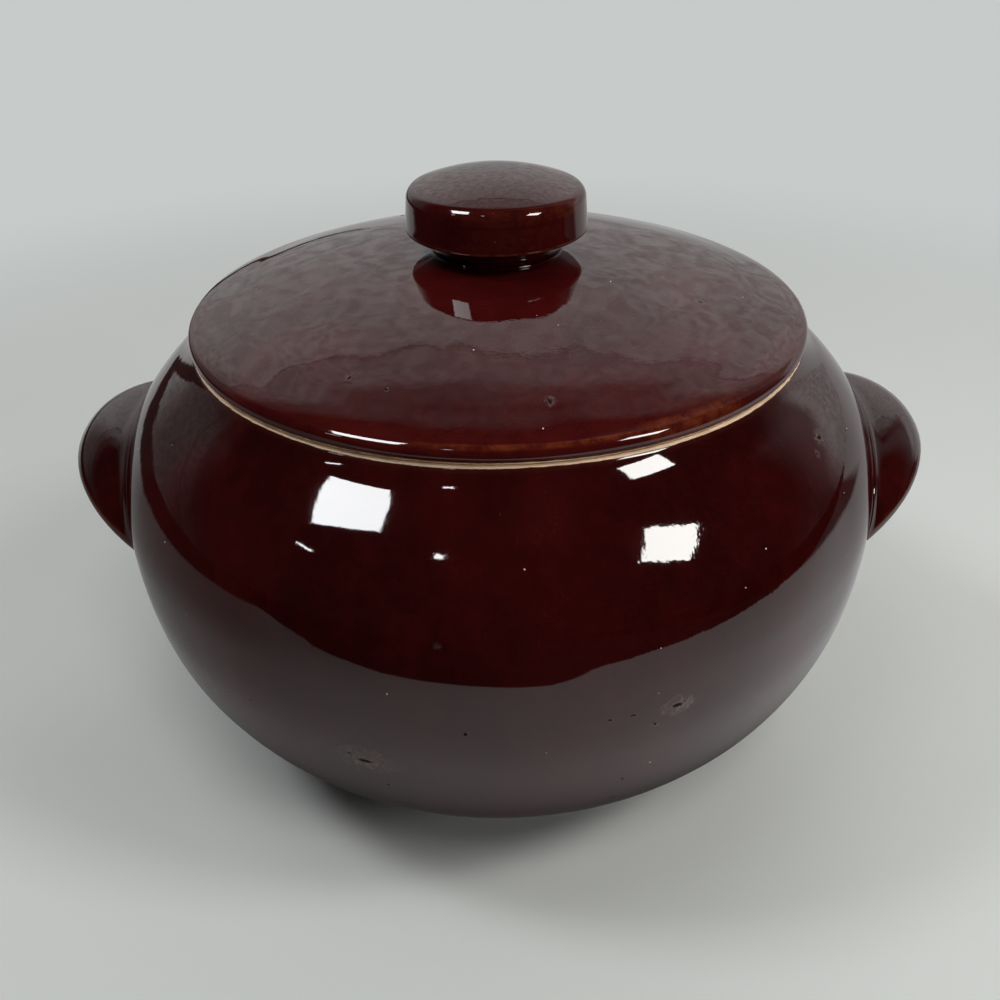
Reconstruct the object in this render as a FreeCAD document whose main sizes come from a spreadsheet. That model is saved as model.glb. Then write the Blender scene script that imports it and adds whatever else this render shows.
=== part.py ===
import FreeCAD, Part
import math
import os

import Sketcher

# Two-quart glazed stoneware bean pot: a round pot with two lugs, and a loose lid with a knob.
# Millimetres, +Z up, +X through the lugs. The origin is the middle of the foot on the table.

os.makedirs("parts", exist_ok=True)

Vector = FreeCAD.Vector
doc = FreeCAD.newDocument("bean_pot")

# ---------------------------------------------------------------- sizes

SIZES = {
    # pot, outside
    "belly_radius": 95.0,        # widest circle of the pot
    "belly_height": 72.4,        # height of that circle
    "flank_radius": 186.0,       # nearly straight stretch just under the belly
    "hip_drop": 12.1,            # below the belly, where the flank turns into the base curve
    "foot_inset": 40.0,          # foot ring's side, inward from the belly
    "foot_height": 5.0,
    "rim_radius": 72.8,
    "rim_height": 112.6,
    "neck_sweep": 18.0,          # hollow curve that carries the shoulder up to the rim
    "neck_lean": 63.0,           # degrees above level at which it meets the rim
    # pot, inside and underneath
    "wall": 6.5,
    "rim_width": 6.8,            # ring on top, from the mouth to the rim's outer side
    "floor_height": 8.5,
    "floor_inset": 9.9,          # edge of the flat floor, inward from the foot ring's side
    "foot_land": 6.0,            # width of the bare ring that stands on the table
    "recess_depth": 1.5,
    # pot, rounded edges
    "rim_round": 0.8,
    "foot_round": 0.8,
    "floor_round": 5.0,
    # lug handles, each a slice of a tilted round cap
    "lug_radius": 41.8,
    "lug_height": 16.0,
    "lug_inset": 23.8,           # cap axis, inward from the belly
    "lug_drop": 9.7,             # cap centre, below the belly
    "lug_tilt": 29.0,            # degrees, the tip rises
    "lug_side_round": 12.5,
    "lug_lip_round": 3.0,
    "cove_land": 2.3,            # flat between the rounded lip and the finger cove
    "cove_width": 14.5,
    "cove_depth": 2.8,
    # lid, heights above its seat on the rim
    "lid_overhang": 0.6,         # edge of the lid, outward from the rim's outer side
    "edge_round": 2.2,
    "brow_radius": 109.0,        # curve from the edge to the flatter crown
    "crown_radius": 209.0,
    "knob_seat_height": 17.1,    # flat on top of the lid that carries the knob
    "lid_wall": 6.0,
    "flange_gap": 1.0,           # clearance of the locating flange in the mouth
    "flange_wall": 5.5,
    "flange_depth": 6.0,
    "flange_round": 1.5,
    # knob, heights above its foot
    "neck_radius": 14.0,
    "neck_flare": 1.6,           # the knob's foot is wider than its neck by this
    "knob_foot_lip": 0.2,
    "head_radius": 21.5,
    "head_taper": 0.6,           # the head is narrower than that under its rounded edge by this
    "head_base": 4.8,
    "head_round": 3.0,
    "knob_crown_radius": 54.0,
    "knob_height": 18.2,
    "head_lip_round": 0.6,
}

sheet = doc.addObject("Spreadsheet::Sheet", "sizes")
for row, (alias, value) in enumerate(SIZES.items(), start=1):
    sheet.set(f"A{row}", alias)
    sheet.set(f"B{row}", str(value))
    sheet.setAlias(f"B{row}", alias)
doc.recompute()


def size(alias):
    """The value of one cell of the sheet."""
    return float(getattr(sheet, alias))


# ---------------------------------------------------------------- drawing helpers

START, END, CENTRE = range(1, 4)
X_AXIS, Z_AXIS = range(-1, -3, -1)
ORIGIN = (X_AXIS, START)
SAME = 1e-4


class HalfSection:
    """A closed outline in the XZ plane of a body, walked curve by curve from its first point."""

    def __init__(self, body, name):
        self.body = body
        self.sketch = body.newObject("Sketcher::SketchObject", name)
        plane = next(item for item in body.Origin.OriginFeatures if item.Role == "XZ_Plane")
        self.sketch.AttachmentSupport = [(plane, "")]
        self.sketch.MapMode = "FlatFace"
        self.walk = []

    def line(self, start, end):
        """A straight edge, held level or upright when it is drawn so."""
        curve = self.sketch.addGeometry(Part.LineSegment(Vector(*start), Vector(*end)))
        if start[1] == end[1]:
            self.hold("Horizontal", curve)
        if start[0] == end[0]:
            self.hold("Vertical", curve)
        return self.join(curve, START, END)

    def arc(self, start, end, centre, tangent=False):
        """A round edge about a centre, the short way from start to end."""
        angles = [math.atan2(point[1] - centre[1], point[0] - centre[0]) for point in (start, end)]
        forward = math.sin(angles[1] - angles[0]) > 0
        first, last = (START, END) if forward else (END, START)
        circle = Part.Circle(Vector(*centre), Vector(0, 0, 1), math.dist(start, centre))
        sweep = angles if forward else angles[::-1]
        curve = self.sketch.addGeometry(Part.ArcOfCircle(circle, *sweep))
        return self.join(curve, first, last, tangent)

    def join(self, curve, first, last, tangent=False):
        """Tie the new curve to the end of the last one, and remember its two ends."""
        if self.walk:
            before = self.walk[-1]
            self.hold("Tangent" if tangent else "Coincident", before[0], before[2], curve, first)
        self.walk.append((curve, first, last))
        return curve

    def close(self):
        """Tie the last curve to the first."""
        before, first = self.walk[-1], self.walk[0]
        self.hold("Coincident", before[0], before[2], first[0], first[1])

    def first(self, curve):
        """The starting point of a curve, as a constraint wants it."""
        return next((item[0], item[1]) for item in self.walk if item[0] == curve)

    def last(self, curve):
        """The end point of a curve, as a constraint wants it."""
        return next((item[0], item[2]) for item in self.walk if item[0] == curve)

    def hold(self, kind, *where):
        """A constraint with no size."""
        return self.sketch.addConstraint(Sketcher.Constraint(kind, *where))

    def on_axis(self, curve, vertex):
        """Keep a point on the turning axis."""
        self.hold("PointOnObject", curve, vertex, Z_AXIS)

    def level(self, one, other):
        """Keep two points at one height."""
        self.hold("Horizontal", *one, *other)

    def drive(self, kind, where, expression):
        """A constraint whose value follows an expression over the sheet."""
        value = float(self.sketch.evalExpression(expression))
        index = self.sketch.addConstraint(Sketcher.Constraint(kind, *where, value))
        self.sketch.setExpression(f"Constraints[{index}]", expression)

    def read(self, name, kind, where):
        """A named size that other sketches read and that drives nothing here."""
        index = self.sketch.addConstraint(Sketcher.Constraint(kind, *where, 1.0))
        self.sketch.setDriving(index, False)
        self.sketch.renameConstraint(index, name)

    def turn(self, feature_type, name):
        """Revolve the outline about the body's own upright axis, as material or as a cut."""
        feature = self.body.newObject(feature_type, name)
        feature.Profile = self.sketch
        feature.ReferenceAxis = (self.sketch, ["V_Axis"])
        feature.Angle = 360
        doc.recompute()
        return feature


def new_body(label):
    """An empty body that carries a sub-part's name."""
    body = doc.addObject("PartDesign::Body", label)
    body.Label = label
    return body


def rings(feature, height, radius=None):
    """Names of the feature's round edges at one height, and at one radius when it is given."""
    names = []
    for number, edge in enumerate(feature.Shape.Edges, start=1):
        if edge.Degenerated or not isinstance(edge.Curve, Part.Circle):
            continue
        centre = edge.Curve.Center
        level = abs(centre.z - height) < SAME and math.hypot(centre.x, centre.y) < SAME
        if level and (radius is None or abs(edge.Curve.Radius - radius) < SAME):
            names.append(f"Edge{number}")
    return names


def round_over(body, base, name, edges, alias):
    """Fillet some edges by a size of the sheet."""
    fillet = body.newObject("PartDesign::Fillet", name)
    fillet.Base = (base, edges)
    fillet.setExpression("Radius", f"sizes.{alias}")
    doc.recompute()
    return fillet


def along(start, end, distance):
    """The point at a distance from start on the way through end."""
    share = distance / math.dist(start, end)
    return tuple(a + share * (b - a) for a, b in zip(start, end))


def arc_centre(start, behind, end):
    """Centre, on the line from start through behind, of the arc that runs from start to end."""
    normal = [(a - b) / math.dist(start, behind) for a, b in zip(start, behind)]
    step = [b - a for a, b in zip(start, end)]
    radius = -(step[0] ** 2 + step[1] ** 2) / (2 * (step[0] * normal[0] + step[1] * normal[1]))
    return start[0] - radius * normal[0], start[1] - radius * normal[1]


def inner_centre(first, first_reach, second, second_reach):
    """Where two circles cross, on the left of the way from the first centre to the second."""
    gap = math.dist(first, second)
    share = (first_reach ** 2 - second_reach ** 2 + gap ** 2) / (2 * gap)
    side = math.sqrt(first_reach ** 2 - share ** 2)
    along_x, along_z = (second[0] - first[0]) / gap, (second[1] - first[1]) / gap
    return first[0] + share * along_x - side * along_z, first[1] + share * along_z + side * along_x


# ---------------------------------------------------------------- pot

def foot_radius():
    """Outer radius of the foot ring."""
    return size("belly_radius") - size("foot_inset")


def pot_outside(body):
    """The pot's outer form, filled; returns the centre of its shoulder curve."""
    foot_top = (foot_radius(), size("foot_height"))
    belly = (size("belly_radius"), size("belly_height"))
    rim, top = size("rim_radius"), size("rim_height")
    sweep, lean = size("neck_sweep"), math.radians(size("neck_lean"))
    flank_centre = (belly[0] - size("flank_radius"), belly[1])
    drop = size("hip_drop")
    hip = (flank_centre[0] + math.sqrt(size("flank_radius") ** 2 - drop ** 2), belly[1] - drop)
    sweep_centre = (rim + sweep * math.sin(lean), top + sweep * math.cos(lean))
    inward, upward = belly[0] - sweep_centre[0], sweep_centre[1] - belly[1]
    reach = (inward ** 2 + upward ** 2 - sweep ** 2) / (2 * (sweep + inward))
    shoulder_centre = (belly[0] - reach, belly[1])
    neck = along(shoulder_centre, sweep_centre, reach)

    half = HalfSection(body, "outside")
    sole = half.line((0, 0), (foot_top[0], 0))
    foot = half.line((foot_top[0], 0), foot_top)
    half.arc(foot_top, hip, arc_centre(hip, flank_centre, foot_top))
    flank = half.arc(hip, belly, flank_centre, tangent=True)
    shoulder = half.arc(belly, neck, shoulder_centre)
    hollow = half.arc(neck, (rim, top), sweep_centre, tangent=True)
    half.line((rim, top), (0, top))
    half.line((0, top), (0, 0))
    half.close()

    half.hold("Coincident", *half.first(sole), *ORIGIN)
    half.drive("DistanceX", half.last(sole), "sizes.belly_radius - sizes.foot_inset")
    half.drive("DistanceY", half.last(foot), "sizes.foot_height")
    half.drive("DistanceY", half.first(flank), "sizes.belly_height - sizes.hip_drop")
    half.drive("Radius", (flank,), "sizes.flank_radius")
    half.drive("DistanceX", half.last(flank), "sizes.belly_radius")
    half.drive("DistanceY", half.last(flank), "sizes.belly_height")
    half.level((flank, CENTRE), half.last(flank))
    half.level((shoulder, CENTRE), half.last(flank))
    half.drive("DistanceX", half.last(hollow), "sizes.rim_radius")
    half.drive("DistanceY", half.last(hollow), "sizes.rim_height")
    half.drive("DistanceX", (hollow, CENTRE),
               "sizes.rim_radius + sizes.neck_sweep * sin(sizes.neck_lean * 1deg)")
    half.drive("DistanceY", (hollow, CENTRE),
               "sizes.rim_height + sizes.neck_sweep * cos(sizes.neck_lean * 1deg)")
    half.read("shoulder_centre_x", "DistanceX", (shoulder, CENTRE))
    half.turn("PartDesign::Revolution", "filled_pot")
    return half.sketch.Geometry[shoulder].Center


def pot_cavity(body, shoulder_centre):
    """The hollow: the outer curves moved in by the wall, a flat floor and an upright mouth."""
    wall, floor, top = size("wall"), size("floor_height"), size("rim_height")
    belly = (size("belly_radius") - wall, size("belly_height"))
    flank_reach = size("flank_radius") - wall
    flank_centre = (belly[0] - flank_reach, belly[1])
    drop = size("hip_drop") * flank_reach / size("flank_radius")
    hip = (flank_centre[0] + math.sqrt(flank_reach ** 2 - drop ** 2), belly[1] - drop)
    corner = (foot_radius() - size("floor_inset"), floor)
    mouth, shoulder_reach = size("rim_radius") - size("rim_width"), belly[0] - shoulder_centre.x
    rise = math.sqrt(shoulder_reach ** 2 - (mouth - shoulder_centre.x) ** 2)
    throat = (mouth, belly[1] + rise)

    half = HalfSection(body, "inside")
    bottom = half.line((0, floor), corner)
    half.arc(corner, hip, arc_centre(hip, flank_centre, corner))
    flank = half.arc(hip, belly, flank_centre, tangent=True)
    shoulder = half.arc(belly, throat, (shoulder_centre.x, shoulder_centre.y))
    neck = half.line(throat, (mouth, top))
    lid_line = half.line((mouth, top), (0, top))
    half.line((0, top), (0, floor))
    half.close()

    half.on_axis(*half.first(bottom))
    half.drive("DistanceY", half.first(bottom), "sizes.floor_height")
    half.drive("DistanceX", half.last(bottom),
               "sizes.belly_radius - sizes.foot_inset - sizes.floor_inset")
    half.drive("DistanceY", half.first(flank), "sizes.belly_height - sizes.hip_drop "
                                               "* (sizes.flank_radius - sizes.wall) / sizes.flank_radius")
    half.drive("Radius", (flank,), "sizes.flank_radius - sizes.wall")
    half.drive("DistanceX", half.last(flank), "sizes.belly_radius - sizes.wall")
    half.drive("DistanceY", half.last(flank), "sizes.belly_height")
    half.level((flank, CENTRE), half.last(flank))
    half.drive("DistanceX", (shoulder, CENTRE), "outside.Constraints.shoulder_centre_x")
    half.level((shoulder, CENTRE), half.last(flank))
    half.drive("DistanceX", half.first(neck), "sizes.rim_radius - sizes.rim_width")
    half.drive("DistanceY", half.first(lid_line), "sizes.rim_height")
    return half.turn("PartDesign::Groove", "hollow")


def foot_recess(body):
    """A shallow recess inside the ring that the pot stands on."""
    reach, depth = foot_radius() - size("foot_land"), size("recess_depth")
    half = HalfSection(body, "recess_outline")
    sole = half.line((0, 0), (reach, 0))
    half.line((reach, 0), (reach, depth))
    roof = half.line((reach, depth), (0, depth))
    half.line((0, depth), (0, 0))
    half.close()
    half.hold("Coincident", *half.first(sole), *ORIGIN)
    half.drive("DistanceX", half.last(sole),
               "sizes.belly_radius - sizes.foot_inset - sizes.foot_land")
    half.drive("DistanceY", half.first(roof), "sizes.recess_depth")
    return half.turn("PartDesign::Groove", "foot_recess")


def make_pot():
    """The pot without its lugs."""
    body = new_body("pot_body")
    pot_cavity(body, pot_outside(body))
    hollowed = foot_recess(body)
    rim = round_over(body, hollowed, "rim_edges", rings(hollowed, size("rim_height")), "rim_round")
    foot = round_over(body, rim, "foot_edge", rings(rim, 0, foot_radius()), "foot_round")
    floor = max(rings(foot, size("floor_height")), key=lambda name: foot.Shape.getElement(name).Length)
    round_over(body, foot, "floor_edge", [floor], "floor_round")
    return body


# ---------------------------------------------------------------- lugs

def lug_cap(body):
    """A round cap with a rounded lip and a finger cove underneath; the pot cuts the lug from it."""
    reach, height = size("lug_radius"), size("lug_height")
    side, lip = size("lug_side_round"), size("lug_lip_round")
    side_centre, lip_centre = (reach - side, 0), (reach - lip, 0)
    crown = (side_centre[0] ** 2 + height ** 2 - side ** 2) / (2 * (height - side))
    crown_centre = (0, height - crown)
    brow = along(crown_centre, side_centre, crown)
    width, depth = size("cove_width"), size("cove_depth")
    outer = reach - lip - size("cove_land")
    inner = outer - width
    cove = (width ** 2 / 4 + depth ** 2) / (2 * depth)
    cove_centre = ((inner + outer) / 2, depth - lip - cove)

    half = HalfSection(body, "cap_outline")
    top = half.arc((0, height), brow, crown_centre)
    face = half.arc(brow, (reach, 0), side_centre, tangent=True)
    edge = half.arc((reach, 0), (reach - lip, -lip), lip_centre, tangent=True)
    land = half.line((reach - lip, -lip), (outer, -lip))
    hollow = half.arc((outer, -lip), (inner, -lip), cove_centre)
    root = half.line((inner, -lip), (0, -lip))
    half.line((0, -lip), (0, height))
    half.close()

    half.on_axis(*half.first(top))
    half.on_axis(top, CENTRE)
    half.drive("DistanceY", half.first(top), "sizes.lug_height")
    half.drive("Radius", (face,), "sizes.lug_side_round")
    half.drive("DistanceX", half.last(face), "sizes.lug_radius")
    half.hold("PointOnObject", face, CENTRE, X_AXIS)
    half.hold("PointOnObject", *half.last(face), X_AXIS)
    half.drive("Radius", (edge,), "sizes.lug_lip_round")
    half.hold("Vertical", edge, CENTRE, *half.last(edge))
    half.drive("DistanceX", (*half.last(land), *half.first(land)), "sizes.cove_land")
    half.drive("DistanceX", (*half.first(root), *half.last(land)), "sizes.cove_width")
    half.hold("Horizontal", *half.last(land), *half.first(root))
    half.drive("Radius", (hollow,), "(sizes.cove_width ^ 2 / 4 + sizes.cove_depth ^ 2) "
                                    "/ (2 * sizes.cove_depth)")
    return half.turn("PartDesign::Revolution", "filled_cap")


def make_lugs():
    """Both lugs: the cap outside the pot's outer form, and its mirror image."""
    cap = new_body("lug_cap")
    lug_cap(cap)
    tilt = FreeCAD.Rotation(Vector(0, -1, 0), size("lug_tilt"))
    cap.Placement = FreeCAD.Placement(Vector(0, 0, 0), tilt)
    cap.setExpression("Placement.Base.x", "sizes.belly_radius - sizes.lug_inset")
    cap.setExpression("Placement.Base.z", "sizes.belly_height - sizes.lug_drop")
    cap.setExpression("Placement.Rotation.Angle", "sizes.lug_tilt")
    form = new_body("pot_form")
    pot_outside(form)
    right = doc.addObject("Part::Cut", "lug_right")
    right.Base, right.Tool = cap, form
    right.Label = "lug_right"
    left = doc.addObject("Part::Mirroring", "lug_left")
    left.Source, left.Normal = right, Vector(1, 0, 0)
    left.Label = "lug_left"
    doc.recompute()
    return [left, right]


# ---------------------------------------------------------------- lid and knob

def lid_outline(body):
    """The lid in half section: seat, rounded edge, domed top, hollow underside and flange."""
    seat, foot = size("knob_seat_height"), size("neck_radius") + size("neck_flare")
    crown, brow, edge, wall = map(size, ("crown_radius", "brow_radius", "edge_round", "lid_wall"))
    edge_centre = (size("rim_radius") + size("lid_overhang") - edge, edge)
    crown_centre = (0, seat - math.sqrt(crown ** 2 - foot ** 2))
    brow_centre = inner_centre(crown_centre, crown - brow, edge_centre, brow - edge)
    outer = size("rim_radius") - size("rim_width") - size("flange_gap")
    inner, depth = outer - size("flange_wall"), size("flange_depth")
    brow_reach = brow - wall
    ceiling = (inner, brow_centre[1] + math.sqrt(brow_reach ** 2 - (inner - brow_centre[0]) ** 2))
    crown_end, brow_end = along(crown_centre, brow_centre, crown), along(brow_centre, edge_centre, brow)
    under_end = along(crown_centre, brow_centre, crown - wall)

    half = HalfSection(body, "lid_outline")
    pad = half.line((0, seat), (foot, seat))
    top = half.arc((foot, seat), crown_end, crown_centre)
    slope = half.arc(crown_end, brow_end, brow_centre, tangent=True)
    nose = half.arc(brow_end, (edge_centre[0], 0), edge_centre, tangent=True)
    rest = half.line((edge_centre[0], 0), (outer, 0))
    outside = half.line((outer, 0), (outer, -depth))
    lower = half.line((outer, -depth), (inner, -depth))
    inside = half.line((inner, -depth), ceiling)
    under_slope = half.arc(ceiling, under_end, brow_centre)
    under_top = half.arc(under_end, (0, crown_centre[1] + crown - wall), crown_centre, tangent=True)
    half.line((0, crown_centre[1] + crown - wall), (0, seat))
    half.close()

    half.on_axis(*half.first(pad))
    half.drive("DistanceX", half.last(pad), "sizes.neck_radius + sizes.neck_flare")
    half.drive("DistanceY", half.last(pad), "sizes.knob_seat_height")
    half.on_axis(top, CENTRE)
    half.drive("Radius", (top,), "sizes.crown_radius")
    half.drive("Radius", (slope,), "sizes.brow_radius")
    half.drive("Radius", (nose,), "sizes.edge_round")
    half.drive("DistanceX", (nose, CENTRE),
               "sizes.rim_radius + sizes.lid_overhang - sizes.edge_round")
    half.hold("Vertical", nose, CENTRE, *half.last(nose))
    half.hold("PointOnObject", *half.first(rest), X_AXIS)
    half.drive("DistanceX", half.first(outside),
               "sizes.rim_radius - sizes.rim_width - sizes.flange_gap")
    half.drive("DistanceY", (outside, END, outside, START), "sizes.flange_depth")
    half.drive("DistanceX", half.first(inside),
               "sizes.rim_radius - sizes.rim_width - sizes.flange_gap - sizes.flange_wall")
    half.hold("Coincident", under_slope, CENTRE, slope, CENTRE)
    half.hold("Coincident", under_top, CENTRE, top, CENTRE)
    half.drive("Radius", (under_top,), "sizes.crown_radius - sizes.lid_wall")
    return half.turn("PartDesign::Revolution", "turned_lid")


def make_lid():
    """The loose lid, resting on the rim."""
    body = new_body("lid")
    turned = lid_outline(body)
    round_over(body, turned, "flange_edges", rings(turned, -size("flange_depth")), "flange_round")
    body.setExpression("Placement.Base.z", "sizes.rim_height")
    return body


def make_knob():
    """The knob, standing on the flat in the middle of the lid."""
    body = new_body("lid_knob")
    neck, flare, lip = size("neck_radius"), size("neck_flare"), size("knob_foot_lip")
    head, base, rounding = size("head_radius"), size("head_base"), size("head_round")
    crown, top = size("knob_crown_radius"), size("knob_height")
    foot, waist = neck + flare, lip + flare
    crown_centre = (0, top - crown)
    inset = head - size("head_taper") - rounding
    round_centre = (inset, crown_centre[1] + math.sqrt((crown - rounding) ** 2 - inset ** 2))
    crown_end = along(crown_centre, round_centre, crown)
    slant = math.dist((head, base), round_centre)
    turn = math.atan2(base - round_centre[1], head - inset) + math.acos(rounding / slant)
    side_end = (inset + rounding * math.cos(turn), round_centre[1] + rounding * math.sin(turn))

    half = HalfSection(body, "knob_outline")
    sole = half.line((0, 0), (foot, 0))
    edge = half.line((foot, 0), (foot, lip))
    fillet = half.arc((foot, lip), (neck, waist), (foot, waist))
    cone = half.line((neck, waist), (head, base))
    half.line((head, base), side_end)
    shoulder = half.arc(side_end, crown_end, round_centre, tangent=True)
    dome = half.arc(crown_end, (0, top), crown_centre, tangent=True)
    half.line((0, top), (0, 0))
    half.close()

    half.hold("Coincident", *half.first(sole), *ORIGIN)
    half.drive("DistanceX", half.last(sole), "sizes.neck_radius + sizes.neck_flare")
    half.drive("DistanceY", half.last(edge), "sizes.knob_foot_lip")
    half.hold("Vertical", fillet, CENTRE, *half.last(edge))
    half.drive("Radius", (fillet,), "sizes.neck_flare")
    half.level((fillet, CENTRE), half.last(fillet))
    half.drive("DistanceX", half.last(cone), "sizes.head_radius")
    half.drive("DistanceY", half.last(cone), "sizes.head_base")
    half.drive("Radius", (shoulder,), "sizes.head_round")
    half.drive("DistanceX", (shoulder, CENTRE), "sizes.head_radius - sizes.head_taper - sizes.head_round")
    half.on_axis(dome, CENTRE)
    half.drive("Radius", (dome,), "sizes.knob_crown_radius")
    half.drive("DistanceY", half.last(dome), "sizes.knob_height")
    turned = half.turn("PartDesign::Revolution", "turned_knob")
    round_over(body, turned, "head_edge", rings(turned, base, head), "head_lip_round")
    body.setExpression("Placement.Base.z", "sizes.rim_height + sizes.knob_seat_height")
    return body


# ---------------------------------------------------------------- whole pot

subparts = [make_pot(), *make_lugs(), make_lid(), make_knob()]
doc.recompute()

failed = [item.Name for item in doc.Objects if {"Invalid", "Error"} & set(item.State)]
if failed:
    raise RuntimeError(f"objects that did not build: {failed}")
for item in doc.Objects:
    if item.TypeId == "Sketcher::SketchObject" and not item.FullyConstrained:
        raise RuntimeError(f"sketch {item.Name} can still move")
for part in subparts:
    shape = part.Shape
    if shape.isNull() or not shape.isValid() or len(shape.Solids) != 1:
        raise RuntimeError(f"{part.Label} is not one valid solid")
    shape.exportStep(f"parts/{part.Label}.step")
    box = shape.optimalBoundingBox()
    print(f"{part.Label:10} {shape.Volume / 1000:7.1f} cm3   x {box.XMin:6.1f} {box.XMax:6.1f}   "
          f"y {box.YMin:6.1f} {box.YMax:6.1f}   z {box.ZMin:6.1f} {box.ZMax:6.1f}")
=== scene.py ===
"""Looks for a glazed stoneware bean pot: a round pot with two lugs, and a loose lid with a knob."""

import logging
import math
from dataclasses import dataclass, field
from contextlib import contextmanager
from enum import Enum
from functools import partial, reduce
from typing import Callable, Iterator, Optional

import bpy
from mathutils import Euler, Matrix, Quaternion, Vector


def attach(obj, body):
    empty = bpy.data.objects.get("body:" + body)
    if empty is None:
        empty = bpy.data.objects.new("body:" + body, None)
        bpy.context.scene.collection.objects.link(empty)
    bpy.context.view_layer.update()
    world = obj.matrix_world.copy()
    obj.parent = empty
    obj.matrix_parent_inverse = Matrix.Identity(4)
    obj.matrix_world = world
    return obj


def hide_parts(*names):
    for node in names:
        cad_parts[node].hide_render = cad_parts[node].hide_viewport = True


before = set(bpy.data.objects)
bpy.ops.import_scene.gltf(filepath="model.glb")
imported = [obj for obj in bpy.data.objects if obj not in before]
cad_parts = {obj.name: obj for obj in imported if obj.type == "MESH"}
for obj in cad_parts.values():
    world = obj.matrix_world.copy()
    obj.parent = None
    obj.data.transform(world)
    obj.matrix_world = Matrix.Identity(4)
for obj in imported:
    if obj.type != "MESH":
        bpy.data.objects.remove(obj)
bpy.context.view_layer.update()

log = logging.getLogger("bean_pot")

Point = tuple[float, float]
Colour = tuple[float, float, float, float]
Span = tuple[float, float]
Socket = bpy.types.NodeSocket
Node = bpy.types.Node
Outputs = bpy.types.NodeOutputs
Tree = bpy.types.NodeTree
Thing = bpy.types.Object
MM = 0.001
FULL_TURN = 2.0 * math.pi


class Part(Enum):
    """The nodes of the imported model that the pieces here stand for."""

    POT = "pot_body"
    LUG_LEFT = "lug_left"
    LUG_RIGHT = "lug_right"
    LID = "lid"
    KNOB = "lid_knob"


class Body(Enum):
    """The bodies that move against each other."""

    POT = "pot"
    COVER = "cover"


# ------------------------------------------------------------------ outlines


def between(one: Point, other: Point, share: float) -> Point:
    """Return the point that is a share of the way from one point to another."""
    return one[0] + share * (other[0] - one[0]), one[1] + share * (other[1] - one[1])


def on_circle(centre: Point, reach: float, turn: float) -> Point:
    """Return the point of a circle at an angle in radians."""
    return centre[0] + reach * math.cos(turn), centre[1] + reach * math.sin(turn)


class HalfSection:
    """An outline in the radius-height plane, walked from the turning axis and back to it."""

    def __init__(self, start: Point) -> None:
        """Begin the outline.

        Args:
            start: first point, as radius and height in metres.
        """
        self.places: list[Point] = [start]
        self.corners: dict[int, float] = {}

    def line(self, end: Point, steps: int = 1) -> "HalfSection":
        """Add a straight edge.

        Args:
            end: where the edge ends.
            steps: number of pieces that it is divided into.

        Returns:
            The outline itself, so that calls can be chained.
        """
        start = self.places[-1]
        self.places += [between(start, end, step / steps) for step in range(1, steps + 1)]
        return self

    def arc(self, centre: Point, end: Point, steps: int) -> "HalfSection":
        """Add a round edge, the short way about its centre.

        Args:
            centre: middle of the circle.
            end: where the edge ends.
            steps: number of pieces that it is divided into.

        Returns:
            The outline itself.
        """
        start = self.places[-1]
        first = math.atan2(start[1] - centre[1], start[0] - centre[0])
        last = math.atan2(end[1] - centre[1], end[0] - centre[0])
        sweep = (last - first + math.pi) % FULL_TURN - math.pi
        reach = math.dist(start, centre)
        self.places += [on_circle(centre, reach, first + sweep * step / steps)
                        for step in range(1, steps + 1)]
        return self

    def curve(self, radius_at: Callable[[float], float], last: float, steps: int) -> "HalfSection":
        """Add an edge whose radius is a formula of its height.

        Args:
            radius_at: gives the radius for a height.
            last: height at which the edge ends.
            steps: number of pieces that it is divided into.

        Returns:
            The outline itself.
        """
        first = self.places[-1][1]
        heights = [first + (last - first) * step / steps for step in range(1, steps + 1)]
        self.places += [(radius_at(height), height) for height in heights]
        return self

    def corner(self, reach: float) -> "HalfSection":
        """Round the corner at the present end once the outline is finished.

        Args:
            reach: how far the rounding reaches along both edges.

        Returns:
            The outline itself.
        """
        self.corners[len(self.places) - 1] = reach
        return self

    def _walked(self, index: int, step: int, reach: float) -> tuple[Point, int]:
        """Walk along the outline from one of its points.

        Args:
            index: the point to start from.
            step: 1 to walk forwards, -1 to walk back.
            reach: distance to walk.

        Returns:
            The point reached, and the index of the first outline point beyond it.
        """
        left = reach
        while True:
            here, there = self.places[index], self.places[index + step]
            gap = math.dist(here, there)
            if gap >= left:
                return between(here, there, left / gap), index + step
            left -= gap
            index += step

    def finished(self, steps: int = 6) -> list[Point]:
        """Replace each marked corner by a smooth bend.

        Args:
            steps: number of pieces in each bend.

        Returns:
            The points of the whole outline.
        """
        made: list[Point] = []
        resume = 0
        for index in sorted(self.corners):
            start, before = self._walked(index, -1, self.corners[index])
            end, after = self._walked(index, 1, self.corners[index])
            made += self.places[resume:before + 1]
            peak = self.places[index]
            for step in range(steps + 1):
                share = step / steps
                weights = ((1 - share) ** 2, 2 * share * (1 - share), share ** 2)
                made.append(tuple(sum(w * p[axis] for w, p in zip(weights, (start, peak, end)))
                                  for axis in (0, 1)))
            resume = after
        return made + self.places[resume:]


def smooth_step(low: float, high: float, value: float) -> float:
    """Rise smoothly from 0 at low to 1 at high."""
    share = min(1.0, max(0.0, (value - low) / (high - low)))
    return share * share * (3 - 2 * share)


# ------------------------------------------------------------------ node helpers


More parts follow.
